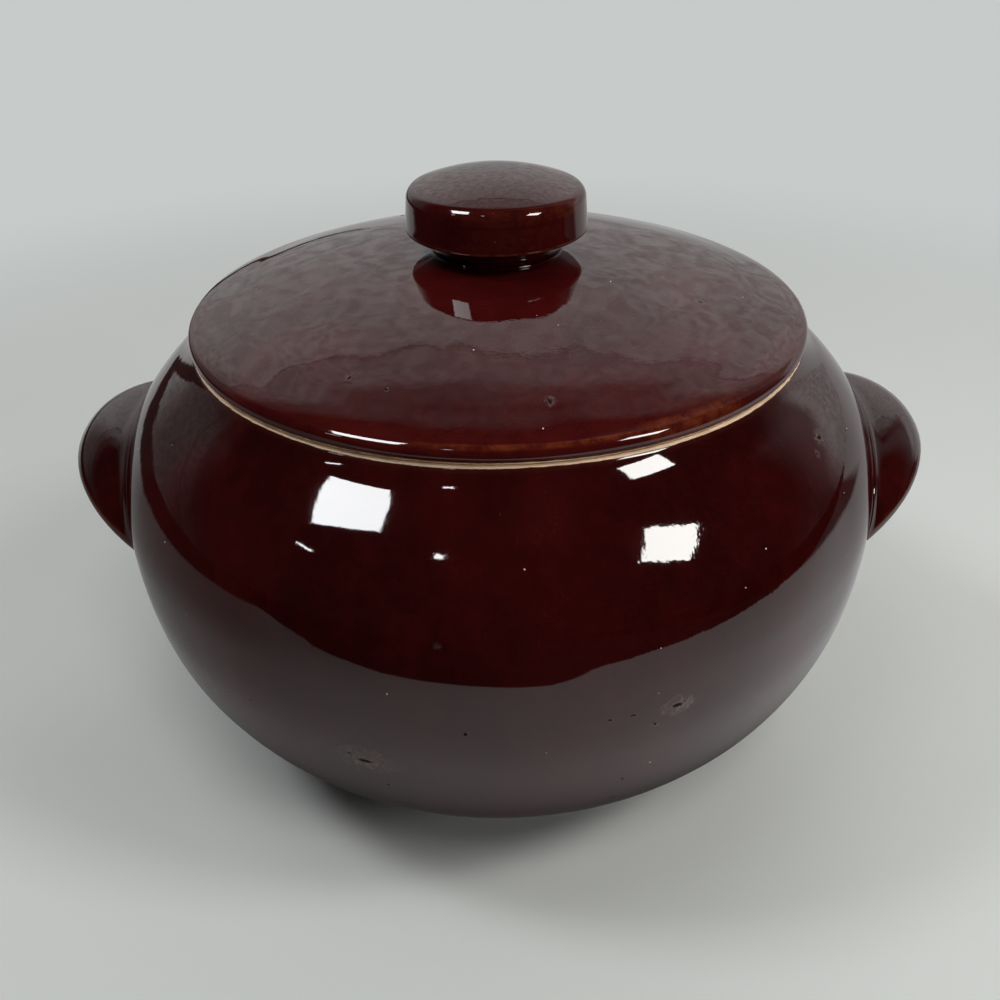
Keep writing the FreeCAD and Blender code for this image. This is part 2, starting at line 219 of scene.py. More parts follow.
class Wires:
    """Adds nodes to one tree and joins them up."""

    def __init__(self, tree: Tree) -> None:
        """Work on the tree of a material, a world or a node group."""
        self.tree = tree

    def node(self, kind: str, feeds: Optional[dict] = None, **settings: object) -> Node:
        """Add a node.

        Args:
            kind: Blender's name for the type of node.
            feeds: a constant or another node's output for each named or numbered input.
            **settings: properties of the node itself.

        Returns:
            The new node.
        """
        made = self.tree.nodes.new(kind)
        for name, value in settings.items():
            setattr(made, name, value)
        self.feed(made, feeds or {})
        return made

    def feed(self, node: Node, feeds: dict) -> None:
        """Feed a node.

        Args:
            node: which node.
            feeds: a constant or another node's output for each of its inputs.
        """
        for key, value in feeds.items():
            if isinstance(value, Socket):
                self.tree.links.new(value, node.inputs[key])
            else:
                node.inputs[key].default_value = value

    def calc(self, operation: str, *values: object, clamp: bool = False) -> Socket:
        """Return the result of a Math node, clamped to 0 to 1 if asked."""
        return self.node("ShaderNodeMath", dict(enumerate(values)), operation=operation,
                         use_clamp=clamp).outputs[0]

    def times(self, *values: object) -> Socket:
        """Return the product of some values."""
        return reduce(partial(self.calc, "MULTIPLY"), values)

    def plus(self, *values: object) -> Socket:
        """Return the sum of some values."""
        return reduce(partial(self.calc, "ADD"), values)

    def minus(self, value: object, other: object) -> Socket:
        """Return a value less another."""
        return self.calc("SUBTRACT", value, other)

    def larger(self, value: object, other: object) -> Socket:
        """Return the larger of two values."""
        return self.calc("MAXIMUM", value, other)

    def scaled(self, value: object, factor: object, shift: object) -> Socket:
        """Return a value times a factor, and shifted."""
        return self.calc("MULTIPLY_ADD", value, factor, shift)

    def vector(self, operation: str, *values: object) -> Outputs:
        """Return the outputs of a Vector Math node."""
        return self.node("ShaderNodeVectorMath", dict(enumerate(values)), operation=operation).outputs

    def axes(self, place: Socket) -> Outputs:
        """Return the X, Y and Z of a position."""
        return self.node("ShaderNodeSeparateXYZ", {"Vector": place}).outputs

    def level(self, axes: Outputs) -> Socket:
        """Return the part of a position that is level."""
        return self.node("ShaderNodeCombineXYZ", {"X": axes["X"], "Y": axes["Y"]}).outputs[0]

    def rise(self, value: Socket, low: object, high: object, start: object = 0.0,
             end: object = 1.0) -> Socket:
        """Pass smoothly from one result to another while a value goes from low to high.

        Args:
            value: what is followed.
            low: value at which the result is start.
            high: value at which the result is end.
            start: result at and below low.
            end: result at and above high.

        Returns:
            The result.
        """
        feeds = {"Value": value, "From Min": low, "From Max": high, "To Min": start, "To Max": end}
        return self.node("ShaderNodeMapRange", feeds, interpolation_type="SMOOTHSTEP").outputs["Result"]

    def rise_degrees(self, angle: Socket, low: float, high: float, start: object = 0.0,
                     end: object = 1.0) -> Socket:
        """Do as rise does, for an angle, with low and high in degrees."""
        return self.rise(angle, math.radians(low), math.radians(high), start, end)

    def blend(self, share: object, one: object, other: object) -> Socket:
        """Return a mix of two colours, with share 0 for the first and 1 for the second."""
        return self.node("ShaderNodeMix", {"Factor": share, 6: one, 7: other}, data_type="RGBA").outputs[2]

    def grain(self, place: Socket, scale: float, detail: float = 2.0, roughness: float = 0.5) -> Socket:
        """Return a noise pattern.

        Args:
            place: where on the piece.
            scale: cells per metre.
            detail: number of finer layers.
            roughness: how strong the finer layers are.

        Returns:
            A value about 0.5.
        """
        feeds = {"Vector": place, "Scale": scale, "Detail": detail, "Roughness": roughness}
        return self.node("ShaderNodeTexNoise", feeds).outputs["Fac"]

    def glow(self, colour: object) -> Socket:
        """Return a surface that shines evenly in a colour."""
        return self.node("ShaderNodeEmission", {"Color": colour, "Strength": 1.0}).outputs[0]

    def either(self, share: Socket, one: Socket, other: Socket) -> Socket:
        """Return a mix of two surfaces, with share 0 for the first and 1 for the second."""
        return self.node("ShaderNodeMixShader", {0: share, 1: one, 2: other}).outputs[0]

    def grey(self, value: Socket) -> Socket:
        """Return a value as a colour."""
        return self.node("ShaderNodeCombineXYZ", {"X": value, "Y": value, "Z": value}).outputs[0]


class Group(Wires):
    """The wires of a new node group, with what it is given."""

    def __init__(self, name: str, inputs: dict[str, object], *outputs: str, colour: str = "") -> None:
        """Start the group with its sockets.

        Args:
            name: the group's name.
            inputs: default of each input: one number for a value, three for a vector, four for a colour.
            *outputs: the outputs that are values.
            colour: the output that is a colour, if it has one.
        """
        super().__init__(bpy.data.node_groups.new(name, "ShaderNodeTree"))
        kinds = {3: "NodeSocketVector", 4: "NodeSocketColor"}
        for label, default in inputs.items():
            kind = kinds[len(default)] if isinstance(default, tuple) else "NodeSocketFloat"
            socket = self.tree.interface.new_socket(name=label, in_out="INPUT", socket_type=kind)
            socket.default_value = default
        for label in filter(None, (colour, *outputs)):
            kind = "NodeSocketColor" if label == colour else "NodeSocketFloat"
            self.tree.interface.new_socket(name=label, in_out="OUTPUT", socket_type=kind)
        self.given = self.node("NodeGroupInput").outputs

    def ends(self, **results: Socket) -> Tree:
        """Join the results to the outputs and return the finished tree."""
        self.node("NodeGroupOutput", results)
        return self.tree


# ------------------------------------------------------------------ shared effects

NOWHERE = (0.0, 0.0, 0.0)
BLACK = (0.0, 0.0, 0.0, 1.0)


class Effects:
    """The effects that several finishes share, each a node group that is built once."""

    def __init__(self) -> None:
        """Build every group."""
        self.ripple = self._ripple()
        self.pinholes = self._pinholes()
        self.blister = self._blister()
        self.glaze_line = self._glaze_line()
        self.band = self._band()
        self.glaze = self._glaze()
        self.clay = self._clay()

    def _ripple(self) -> Tree:
        """Build the slow swell and fine orange peel of a poured glaze.

        Returns:
            A group that gives a height.
        """
        wires = Group("glaze_ripple", {"Position": NOWHERE, "Swell": 0.16 * MM}, "Height")
        place = wires.given["Position"]

        def drawn(level: float, upright: float, scale: float, height: float, detail: float = 1.0) -> Socket:
            """Return a pattern's height, drawn out along the turning or up and down."""
            mapped = wires.node("ShaderNodeMapping", {"Vector": place, "Scale": (level, level, upright)})
            return wires.times(wires.grain(mapped.outputs[0], scale, detail), height)

        swell = wires.times(wires.grain(place, 48.0, 1.0), wires.given["Swell"])
        peel = wires.plus(drawn(1.0, 0.45, 420.0, 0.008 * MM), drawn(1.0, 0.45, 1500.0, 0.0022 * MM, 2.0))
        rings = drawn(0.10, 1.0, 270.0, 0.034 * MM)
        patches = wires.rise(wires.grain(place, 28.0, 1.0), 0.47, 0.60)
        brushed = wires.times(drawn(1.0, 0.10, 1500.0, 0.0085 * MM), patches)
        lumps = wires.times(drawn(1.0, 0.8, 210.0, 0.030 * MM, 2.0), patches)
        return wires.ends(Height=wires.plus(swell, peel, wires.plus(rings, brushed), lumps))

    def _pinholes(self) -> Tree:
        """Build sparse pinholes and raised grains; the finish paints the holes dark as shade and the grains
        pale as glints.

        Returns:
            A group that gives two masks.
        """
        wires = Group("pinholes", {"Position": NOWHERE}, "Pits", "Grains")
        results = []
        for scale, rarity, size in ((95.0, 0.90, 0.055), (230.0, 0.81, 0.050)):
            cells = wires.node("ShaderNodeTexVoronoi", {"Vector": wires.given["Position"], "Scale": scale})
            tone = wires.node("ShaderNodeSeparateColor", {"Color": cells.outputs["Color"]}).outputs[0]
            dot = wires.rise(cells.outputs["Distance"], size * 0.45, size, 1.0, 0.0)
            results.append(wires.times(wires.calc("GREATER_THAN", tone, rarity), dot))
        return wires.ends(Pits=results[0], Grains=results[1])

    def _blister(self) -> Tree:
        """Build one burst blister.

        Returns:
            A group that gives masks for its bowl and the crawled glaze about it.
        """
        unit = (1.0, 1.0, 1.0)
        wires = Group("blister", {"Position": NOWHERE, "Centre": NOWHERE, "Turn": 0.0, "Size": unit,
                                  "Reach": unit}, "Bowl", "Halo")
        given = wires.given
        offset = wires.vector("SUBTRACT", given["Position"], given["Centre"])[0]
        turned = wires.node("ShaderNodeVectorRotate", {"Vector": offset, "Angle": given["Turn"]},
                            rotation_type="Z_AXIS").outputs[0]
        uneven = wires.scaled(wires.grain(given["Position"], 900.0, 3.0), 1.2, -0.6)
        shares = [wires.vector("DIVIDE", turned, given[size])[0] for size in ("Size", "Reach")]
        bowl_edge, halo_edge = (wires.plus(wires.vector("LENGTH", share)["Value"], uneven)
                                for share in shares)
        streaks = wires.rise(wires.grain(given["Position"], 480.0, 4.0, 0.7), 0.42, 0.60, 0.25, 1.0)
        return wires.ends(Bowl=wires.rise(bowl_edge, 0.55, 1.0, 1.0, 0.0),
                          Halo=wires.times(wires.rise(halo_edge, 0.3, 1.0, 1.0, 0.0), streaks))

    def _glaze_line(self) -> Tree:
        """Build the end of a glaze at a wandering level.

        Returns:
            A group that gives masks for bare clay and the edge.
        """
        wires = Group("glaze_line", {"Position": NOWHERE, "Level": 0.0, "Side": 1.0, "Wander": 0.4 * MM,
                                     "Drips": 0.3 * MM}, "Bare", "Edge")
        given = wires.given
        parts = wires.axes(given["Position"])
        round_about = wires.vector("NORMALIZE", wires.level(parts))[0]
        slow = wires.minus(wires.grain(round_about, 2.1, 1.0), 0.5)
        quick = wires.minus(wires.grain(round_about, 22.0, 4.0, 0.65), 0.5)
        level = wires.scaled(slow, wires.times(given["Wander"], 4.0),
                             wires.scaled(quick, wires.times(given["Drips"], 4.0), given["Level"]))
        past = wires.times(wires.minus(parts["Z"], level), given["Side"])
        edge = wires.times(wires.rise(past, -1.2 * MM, 0.0), wires.rise(past, 0.0, 0.3 * MM, 1.0, 0.0))
        return wires.ends(Bare=wires.rise(past, -0.05 * MM, 0.05 * MM), Edge=edge)

    def _band(self) -> Tree:
        """Build a stretch of a value.

        Returns:
            A group that gives 1 inside it, fading to 0 on both sides.
        """
        wires = Group("thin_band", {"Value": 0.0, "Low": 0.0, "High": 1.0, "Fade": 0.1, "Strength": 1.0},
                      "Mask")
        given = wires.given
        below = wires.minus(given["Low"], given["Fade"])
        above = wires.plus(given["High"], given["Fade"])
        rising = wires.rise(given["Value"], below, given["Low"])
        falling = wires.rise(given["Value"], given["High"], above, 1.0, 0.0)
        return wires.ends(Mask=wires.times(rising, falling, given["Strength"]))

    def _glaze(self) -> Tree:
        """Build the colour of the glaze.

        Returns:
            A group that gives it, thick, streaked or thin.
        """
        wires = Group("glaze_colour", {"Position": NOWHERE, "Thin": 0.0, "Deep": BLACK, "Streak": BLACK,
                                       "Broken": BLACK}, colour="Colour")
        given = wires.given
        place = given["Position"]
        drawn_down = wires.node("ShaderNodeMapping", {"Vector": place, "Scale": (1.0, 1.0, 0.35)})
        clouds = wires.rise(wires.grain(drawn_down.outputs[0], 42.0, 3.0, 0.6), 0.35, 0.72)
        mottle = wires.rise(wires.grain(place, 260.0, 4.0, 0.7), 0.40, 0.66)
        specks = wires.rise(wires.grain(place, 1500.0, 2.0, 0.7), 0.48, 0.72)
        fine = wires.scaled(mottle, 0.15, wires.times(specks, 0.20))
        streaked = wires.calc("MULTIPLY_ADD", clouds, 0.42, wires.plus(fine, 0.09), clamp=True)
        body = wires.blend(streaked, given["Deep"], given["Streak"])
        broken = wires.rise(wires.grain(place, 330.0, 4.0, 0.7), 0.34, 0.66, 0.10, 1.0)
        share = wires.calc("MULTIPLY", given["Thin"], broken, clamp=True)
        return wires.ends(Colour=wires.blend(share, body, given["Broken"]))

    def _clay(self) -> Tree:
        """Build bare fired clay.

        Returns:
            A group that gives its colour with iron specks, and its tooth as a height.
        """
        wires = Group("bare_clay", {"Position": NOWHERE, "Body": (1.0, 1.0, 1.0, 1.0), "Iron": BLACK},
                      "Height", colour="Colour")
        place = wires.given["Position"]
        dust = wires.rise(wires.grain(place, 2400.0, 3.0, 0.7), 0.60, 0.74)
        warm = wires.rise(wires.grain(place, 160.0, 3.0), 0.42, 0.70, 0.0, 0.35)
        stained = wires.calc("ADD", wires.times(dust, 0.45), warm, clamp=True)
        tooth = wires.times(wires.grain(place, 3000.0, 3.0, 0.7), 0.05 * MM)
        return wires.ends(Colour=wires.blend(stained, wires.given["Body"], wires.given["Iron"]),
                          Height=tooth)


# ------------------------------------------------------------------ finishes


class Measure(Enum):
    """What a band of thin glaze follows."""

    HEIGHT = "height"
    RADIUS = "radius"


@dataclass(frozen=True)
class ThinBand:
    """A stretch where the glaze ran thin and broke to its lighter colour, all round or to one side.

    The azimuth and spread are in degrees, from the front towards +X."""

    follows: Measure
    low: float
    high: float
    fade: float
    strength: float
    azimuth: float = 0.0
    spread: float = 180.0


@dataclass(frozen=True)
class GlazeEdge:
    """A level at which the glaze ends; side is 1 where the clay above it is bare and -1 below it."""

    level: float
    side: float
    wander: float = 0.00020
    drips: float = 0.00010
    scorch: float = 0.35


@dataclass(frozen=True)
class Blister:
    """A place where the glaze burst or crawled; azimuth is from the front, towards +X, in degrees.

    The halo is how strongly the glaze crawled about the hole, and spread how far."""

    azimuth: float
    radius: float
    height: float
    width: float
    tall: float
    depth: float
    halo: float = 0.3
    spread: float = 1.0 * MM


@dataclass(frozen=True)
class Glaze:
    """An oxblood-brown glaze, fired to a gloss."""

    deep: Colour = (0.0140, 0.0008, 0.0010, 1.0)
    streak: Colour = (0.0510, 0.0038, 0.0034, 1.0)
    broken: Colour = (0.2100, 0.0420, 0.0110, 1.0)
    # Painted glints: the pale colour of the raised grains stands in for light caught on them.
    grain: Colour = (0.8000, 0.6800, 0.6000, 1.0)
    crawled: Colour = (0.2600, 0.1900, 0.1700, 1.0)
    # Painted shade: the near-black colour inside pinholes and blister bowls.
    pit_shade: Colour = (0.0040, 0.0020, 0.0020, 1.0)
    gloss: float = 0.038
    bending: float = 1.5
    thickness: float = 0.2 * MM
    pit_depth: float = 0.16 * MM
    crawl: float = 0.34 * MM
    grain_height: float = 0.05 * MM
    halo_tint: float = 0.45
    halo_roughness: float = 0.22
    pit_shade_strength: float = 0.9
    pit_roughness: float = 0.45
    mirror: float = 0.5
    pit_mirror: float = 0.06


@dataclass(frozen=True)
class Clay:
    """The cream stoneware under the glaze."""

    body: Colour = (0.80, 0.600, 0.430, 1.0)
    iron: Colour = (0.38, 0.220, 0.105, 1.0)
    scorched: Colour = (0.14, 0.045, 0.018, 1.0)
    roughness: float = 0.80


@dataclass
class GlazedFinish:
    """The material of one piece: glaze with its thin bands, edges and flaws over bare clay."""

    name: str
    bands: list[ThinBand] = field(default_factory=list)
    edges: list[GlazeEdge] = field(default_factory=list)
    blisters: list[Blister] = field(default_factory=list)
    centre: Vector = field(default_factory=Vector)
    tilt: float = 0.0
    swell: float = 0.16 * MM
    glaze: Glaze = Glaze()
    clay: Clay = Clay()

    def _thinness(self, wires: Wires, place: Socket, stretch: Tree) -> object:
        """Join the bands, measured from the finish's own centre and axis.

        Args:
            wires: the material's wires.
            place: position on the piece.
            stretch: the shared group for one band.

        Returns:
            How thin the glaze lies, 0 to 1.
        """
        if not self.bands:
            return 0.0
        own = wires.node("ShaderNodeMapping", {"Vector": place, "Location": self.centre,
                                               "Rotation": (0.0, self.tilt, 0.0)}, vector_type="TEXTURE")
        parts = wires.axes(own.outputs[0])
        flat = wires.level(parts)
        measures = {Measure.HEIGHT: parts["Z"], Measure.RADIUS: wires.vector("LENGTH", flat)["Value"]}
        outward = wires.vector("NORMALIZE", flat)[0]
        total: object = 0.0
        for band in self.bands:
            strength: object = band.strength
            if band.spread < 180.0:
                turn, spread = math.radians(band.azimuth), math.radians(band.spread)
                facing = wires.vector("DOT_PRODUCT", outward, (math.sin(turn), -math.cos(turn), 0.0))
                strength = wires.rise(facing["Value"], math.cos(spread), math.cos(0.4 * spread), 0.0,
                                      band.strength)
            feeds = {"Value": measures[band.follows], "Low": band.low, "High": band.high,
                     "Fade": band.fade, "Strength": strength}
            mask = wires.node("ShaderNodeGroup", feeds, node_tree=stretch)
            total = wires.larger(mask.outputs["Mask"], total)
        return total

    def build(self, effects: Effects) -> bpy.types.Material:
        """Make the material.

        Args:
            effects: the shared effects that it draws on.

        Returns:
            The material.
        """
        material = bpy.data.materials.new(self.name)
        material.use_nodes = True
        wires = Wires(material.node_tree)
        shader = material.node_tree.nodes["Principled BSDF"]
        place = wires.node("ShaderNodeTexCoord").outputs["Object"]

        def effect(tree: Tree, **feeds: object) -> Outputs:
            """Place a shared effect and feed it, the position included."""
            return wires.node("ShaderNodeGroup", {"Position": place, **feeds}, node_tree=tree).outputs

        look, clay = self.glaze, self.clay
        glaze = effect(effects.glaze, Thin=self._thinness(wires, place, effects.band), Deep=look.deep,
                       Streak=look.streak, Broken=look.broken)
        dots = effect(effects.pinholes)
        height = effect(effects.ripple, Swell=self.swell)["Height"]
        # Painted glints: the raised grains are coloured pale, as if catching the light.
        colour = wires.blend(dots["Grains"], glaze["Colour"], look.grain)
        pits: object = dots["Pits"]
        halos: object = 0.0
        for flaw in self.blisters:
            turn = math.radians(flaw.azimuth)
            centre = (flaw.radius * math.sin(turn), -flaw.radius * math.cos(turn), flaw.height)
            size = Vector((flaw.width / 2, flaw.width / 2 + flaw.depth, flaw.tall / 2))
            reach = size + flaw.spread * Vector((1.0, 1.0, 0.75))
            made = effect(effects.blister, Centre=centre, Turn=-turn, Size=size, Reach=reach)
            pits = wires.larger(pits, made["Bowl"])
            halos = wires.larger(wires.times(made["Halo"], flaw.halo), halos)
        colour = wires.blend(wires.times(halos, look.halo_tint), colour, look.crawled)
        # Painted shade: pinholes and blister bowls are darkened towards near-black.
        colour = wires.blend(wires.times(pits, look.pit_shade_strength), colour, look.pit_shade)
        crawled = wires.times(wires.grain(place, 700.0, 4.0, 0.7), halos, look.crawl)
        height = wires.minus(wires.plus(height, crawled), wires.times(pits, look.pit_depth))
        height = wires.plus(height, wires.times(dots["Grains"], look.grain_height))
        roughness = wires.scaled(pits, look.pit_roughness,
                                 wires.scaled(halos, look.halo_roughness, look.gloss))

        bare: object = 0.0
        rim: object = 0.0
        for line in self.edges:
            made = effect(effects.glaze_line, Level=line.level, Side=line.side, Wander=line.wander,
                          Drips=line.drips)
            bare = wires.larger(made["Bare"], bare)
            rim = wires.larger(wires.times(made["Edge"], line.scorch), rim)
        if self.edges:
            ground = effect(effects.clay, Body=clay.body, Iron=clay.iron)
            colour = wires.blend(rim, colour, clay.scorched)
            colour = wires.blend(bare, colour, ground["Colour"])
            height = wires.times(wires.plus(height, look.thickness), wires.minus(1.0, bare))
            height = wires.plus(height, wires.times(ground["Height"], bare))
            roughness = wires.rise(bare, 0.0, 1.0, roughness, clay.roughness)
        bump = wires.node("ShaderNodeBump", {"Height": height, "Distance": 1.0, "Strength": 1.0})
        mirror = wires.rise(pits, 0.0, 1.0, look.mirror, look.pit_mirror)
        wires.feed(shader, {"Base Color": colour, "Roughness": roughness, "Specular IOR Level": mirror,
                            "Normal": bump.outputs["Normal"], "IOR": look.bending})
        return material


# ------------------------------------------------------------------ pieces


@dataclass(frozen=True)
class Waviness:
    """How far a hand-made surface falls short of its true curve, and over what distance."""

    depth: float
    length: float
    detail: int = 1


@contextmanager
def edit_mode() -> Iterator[None]:
    """Work in edit mode on the active object, and leave it afterwards."""
    bpy.ops.object.mode_set(mode="EDIT")
    yield
    bpy.ops.object.mode_set(mode="OBJECT")


def added(operator: Callable, **settings: object) -> Thing:
    """Add an object by one of Blender's operators.

    Args:
        operator: the operator.
        **settings: what it is given.

    Returns:
        The new object.
    """
    bpy.ops.object.select_all(action="DESELECT")
    operator(**settings)
    return bpy.context.active_object


def close_up(gap: float = 0.0) -> None:
    """In edit mode, join near points and turn every face outwards.

    Args:
        gap: how near two points are that are joined.
    """
    bpy.ops.mesh.select_all(action="SELECT")
    if gap:
        bpy.ops.mesh.remove_doubles(threshold=gap)
    bpy.ops.mesh.normals_make_consistent(inside=False)


def settle(obj: Thing, name: str, material: bpy.types.Material, part: Part, body: Body) -> None:
    """Finish a piece: name it, dress it and hand it to the frame.

    Args:
        obj: the piece.
        name: what it is called.
        material: its finish.
        part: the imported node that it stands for.
        body: the body that it moves with.
    """
    obj.name = obj.data.name = name
    obj.data.materials.clear()
    obj.data.materials.append(material)
    for polygon in obj.data.polygons:
        polygon.use_smooth = True
    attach(obj, body.value)
    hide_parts(part.value)
    log.info("%s: %d faces, stands for %s", name, len(obj.data.polygons), part.value)


class TurnedPiece:
    """A piece of revolution about the upright axis."""

    name = ""
    part = Part.POT
    body = Body.POT
    segments = 256
    waviness: Optional[Waviness] = None

    def outline(self) -> list[Point]:
        """Return the half section, from the axis round to the axis."""
        raise NotImplementedError

    def finish(self) -> GlazedFinish:
        """Return the finish of the piece."""
        raise NotImplementedError

    def wavy_share(self, place: Vector) -> float:
        """Return how far the waviness applies at a place, 0 to 1."""
        return 0.0

    def spun(self) -> Thing:
        """Extrude the outline from a single point and spin it.

        Returns:
            The new object.
        """
        obj = added(bpy.ops.mesh.primitive_plane_add, size=MM, location=(0.0, 0.0, 0.0))
        points = self.outline()
        with edit_mode():
            bpy.ops.mesh.select_all(action="SELECT")
            bpy.ops.mesh.merge(type="CENTER")
            bpy.ops.transform.translate(value=(points[0][0], 0.0, points[0][1]))
            for here, there in zip(points, points[1:]):
                step = (there[0] - here[0], 0.0, there[1] - here[1])
                bpy.ops.mesh.extrude_region_move(TRANSFORM_OT_translate={"value": step})
            bpy.ops.mesh.select_all(action="SELECT")
            bpy.ops.mesh.spin(steps=self.segments, angle=FULL_TURN, center=(0.0, 0.0, 0.0),
                              axis=(0.0, 0.0, 1.0))
            close_up(0.001 * MM)
        return obj

    def waved(self, obj: Thing) -> None:
        """Press the glazed surface in by the slow unevenness of a thrown piece.

        Args:
            obj: the spun object.
        """
        if self.waviness is None:
            return
        texture = bpy.data.textures.new(self.name + "_waves", "CLOUDS")
        texture.noise_scale = self.waviness.length
        texture.noise_depth = self.waviness.detail
        group = obj.vertex_groups.new(name="waves")
        for vertex in obj.data.vertices:
            share = self.wavy_share(vertex.co)
            if share > 0.0:
                group.add([vertex.index], share, "REPLACE")
        waves = obj.modifiers.new("waves", "DISPLACE")
        waves.texture = texture
        waves.texture_coords = "LOCAL"
        waves.vertex_group = group.name
        waves.mid_level = 1.0
        waves.strength = self.waviness.depth
        bpy.ops.object.modifier_apply(modifier=waves.name)
        obj.vertex_groups.clear()

    def build(self, effects: Effects) -> Thing:
        """Make the piece.

        Args:
            effects: the shared effects that its finish draws on.

        Returns:
            The finished object.
        """
        obj = self.spun()
        self.waved(obj)
        settle(obj, self.name, self.finish().build(effects), self.part, self.body)
        return obj


@dataclass
class Pot(TurnedPiece):
    """The round pot: foot ring, full belly, and a shoulder that sweeps up hollow to the rim."""

    name = "pot"
    part = Part.POT
    body = Body.POT
    waviness = Waviness(0.45 * MM, 50.0 * MM)

    belly: float = 95.0 * MM
    belly_height: float = 72.4 * MM
    upper: Point = (53.8 * MM, 2.243)
    lower: Point = (74.5 * MM, 2.489)
    foot: Point = (55.0 * MM, 5.0 * MM)
    foot_land: float = 6.0 * MM
    recess: float = 1.5 * MM
    base_centre: Point = (30.35 * MM, 64.49 * MM)
    base_radius: float = 64.39 * MM
    base_blend: Point = (8.0 * MM, 30.0 * MM)
    rim: Point = (72.8 * MM, 112.6 * MM)
    neck: float = 106.5 * MM
    mouth: float = 66.0 * MM
    mouth_foot: Point = (66.0 * MM, 105.8 * MM)
    shoulder_centre: Point = (52.47 * MM, 72.4 * MM)
    flank_centre: Point = (-91.0 * MM, 72.4 * MM)
    hip_turn: float = -3.8
    wall: float = 6.5 * MM
    floor: Point = (45.1 * MM, 8.5 * MM)
    wavy_low: Span = (6.0 * MM, 16.0 * MM)
    wavy_high: Span = (109.0 * MM, 100.0 * MM)

    def __post_init__(self) -> None:
        """Find the hollow curve that leaves the shoulder smoothly and ends at the rim."""
        start = Vector((self.radius_at(self.neck), self.neck))
        out = Vector((1.0, -self.slope_at(self.neck - 0.1 * MM))).normalized()
        gap = start - Vector(self.rim)
        self.sweep = -gap.length_squared / (2.0 * gap.dot(out))
        self.sweep_centre = tuple(start + self.sweep * out)

    def radius_at(self, height: float) -> float:
        """Follow the outside.

        Args:
            height: height above the table.

        Returns:
            The radius there.
        """
        if height > self.neck:
            drop = self.sweep_centre[1] - min(height, self.rim[1])
            return self.sweep_centre[0] - math.sqrt(self.sweep ** 2 - drop ** 2)
        reach, power = self.upper if height >= self.belly_height else self.lower
        share = min(1.0, abs(height - self.belly_height) / reach)
        flank = self.belly * (1.0 - share ** power) ** (1.0 / power)
        if height >= self.belly_height:
            return flank
        drop = min(self.base_radius, abs(self.base_centre[1] - height))
        base = self.base_centre[0] + math.sqrt(self.base_radius ** 2 - drop ** 2)
        mix = smooth_step(*self.base_blend, height)
        return base + (flank - base) * mix

    def slope_at(self, height: float) -> float:
        """Return how fast the outside radius grows with height."""
        step = 0.05 * MM
        return (self.radius_at(height + step) - self.radius_at(height - step)) / (2 * step)

    def outline(self) -> list[Point]:
        """Draw the pot.

        Returns:
            The half section, from the middle of the inside floor to that of the recess.
        """
        hip_inside = on_circle(self.flank_centre, self.belly - self.flank_centre[0] - self.wall,
                               math.radians(self.hip_turn))
        section = HalfSection((0.0, self.floor[1]))
        section.line(self.floor, 12).corner(4.0 * MM)
        section.arc(self.base_centre, hip_inside, 28)
        section.arc(self.flank_centre, (self.belly - self.wall, self.belly_height), 10)
        section.arc(self.shoulder_centre, self.mouth_foot, 28).corner(1.2 * MM)
        section.line((self.mouth, self.rim[1]), 3).corner(0.8 * MM)
        section.line(self.rim, 3).corner(0.8 * MM)
        section.curve(self.radius_at, self.neck, 24)
        section.curve(self.radius_at, self.belly_height, 60)
        section.curve(self.radius_at, self.base_blend[1], 36)
        section.curve(self.radius_at, self.foot[1], 44).corner(1.6 * MM)
        section.line((self.foot[0], 0.0), 3).corner(0.8 * MM)
        inner = self.foot[0] - self.foot_land
        section.line((inner, 0.0), 4).corner(0.6 * MM)
        section.line((inner, self.recess), 2).corner(0.6 * MM)
        section.line((0.0, self.recess), 10)
        return section.finished()

    def wavy_share(self, place: Vector) -> float:
        """Keep the waviness to the glazed outside.

        Args:
            place: where on the pot.

        Returns:
            How far it applies, 0 to 1.
        """
        reach = math.hypot(place.x, place.y)
        if place.z < self.foot[1] or reach < self.radius_at(place.z) - 2.0 * MM:
            return 0.0
        return smooth_step(*self.wavy_low, place.z) * smooth_step(*self.wavy_high, place.z)

    def finish(self) -> GlazedFinish:
        """Leave bare clay at the rim and the foot.

        Returns:
            The pot's finish.
        """
        flaws = [(-17.5, 53.0, 3.6, 1.2, 1.0), (-19.5, 54.5, 1.6, 0.5, 0.5), (-4.4, 65.7, 1.0, 1.0, 0.2),
                 (12.6, 67.0, 1.2, 0.7, 0.2), (15.5, 67.0, 1.4, 0.7, 0.2), (21.3, 66.7, 2.8, 1.2, 0.7),
                 (15.6, 45.9, 0.9, 0.8, 0.2), (15.4, 36.4, 1.8, 0.8, 0.2), (-15.2, 44.9, 1.0, 0.6, 0.2),
                 (-26.4, 31.4, 1.4, 0.7, 0.2), (56.0, 102.7, 1.6, 0.8, 0.5), (53.0, 101.2, 0.8, 0.8, 0.3),
                 (-7.3, 86.2, 0.5, 0.5, 0.3), (18.5, 63.0, 0.8, 0.8, 0.3), (-34.0, 60.0, 0.9, 0.6, 0.2),
                 (118.0, 58.0, 1.8, 1.0, 0.5), (-142.0, 71.0, 1.1, 0.9, 0.4), (171.0, 44.0, 2.4, 1.1, 0.6),
                 (-98.0, 40.0, 0.9, 0.7, 0.3)]
        blisters = [Blister(turn, self.radius_at(height * MM), height * MM, width * MM, tall * MM,
                            0.9 * MM, halo, (0.4 + 6.0 * halo ** 2) * MM)
                    for turn, height, width, tall, halo in flaws]
        bands = [ThinBand(Measure.HEIGHT, 0.0, 5.0 * MM, 2.5 * MM, 0.5)]
        edges = [GlazeEdge(112.26 * MM, 1.0, 0.10 * MM, 0.07 * MM, 0.1),
                 GlazeEdge(0.9 * MM, -1.0, 0.3 * MM, 0.2 * MM)]
        return GlazedFinish("pot_glaze", bands, edges, blisters)


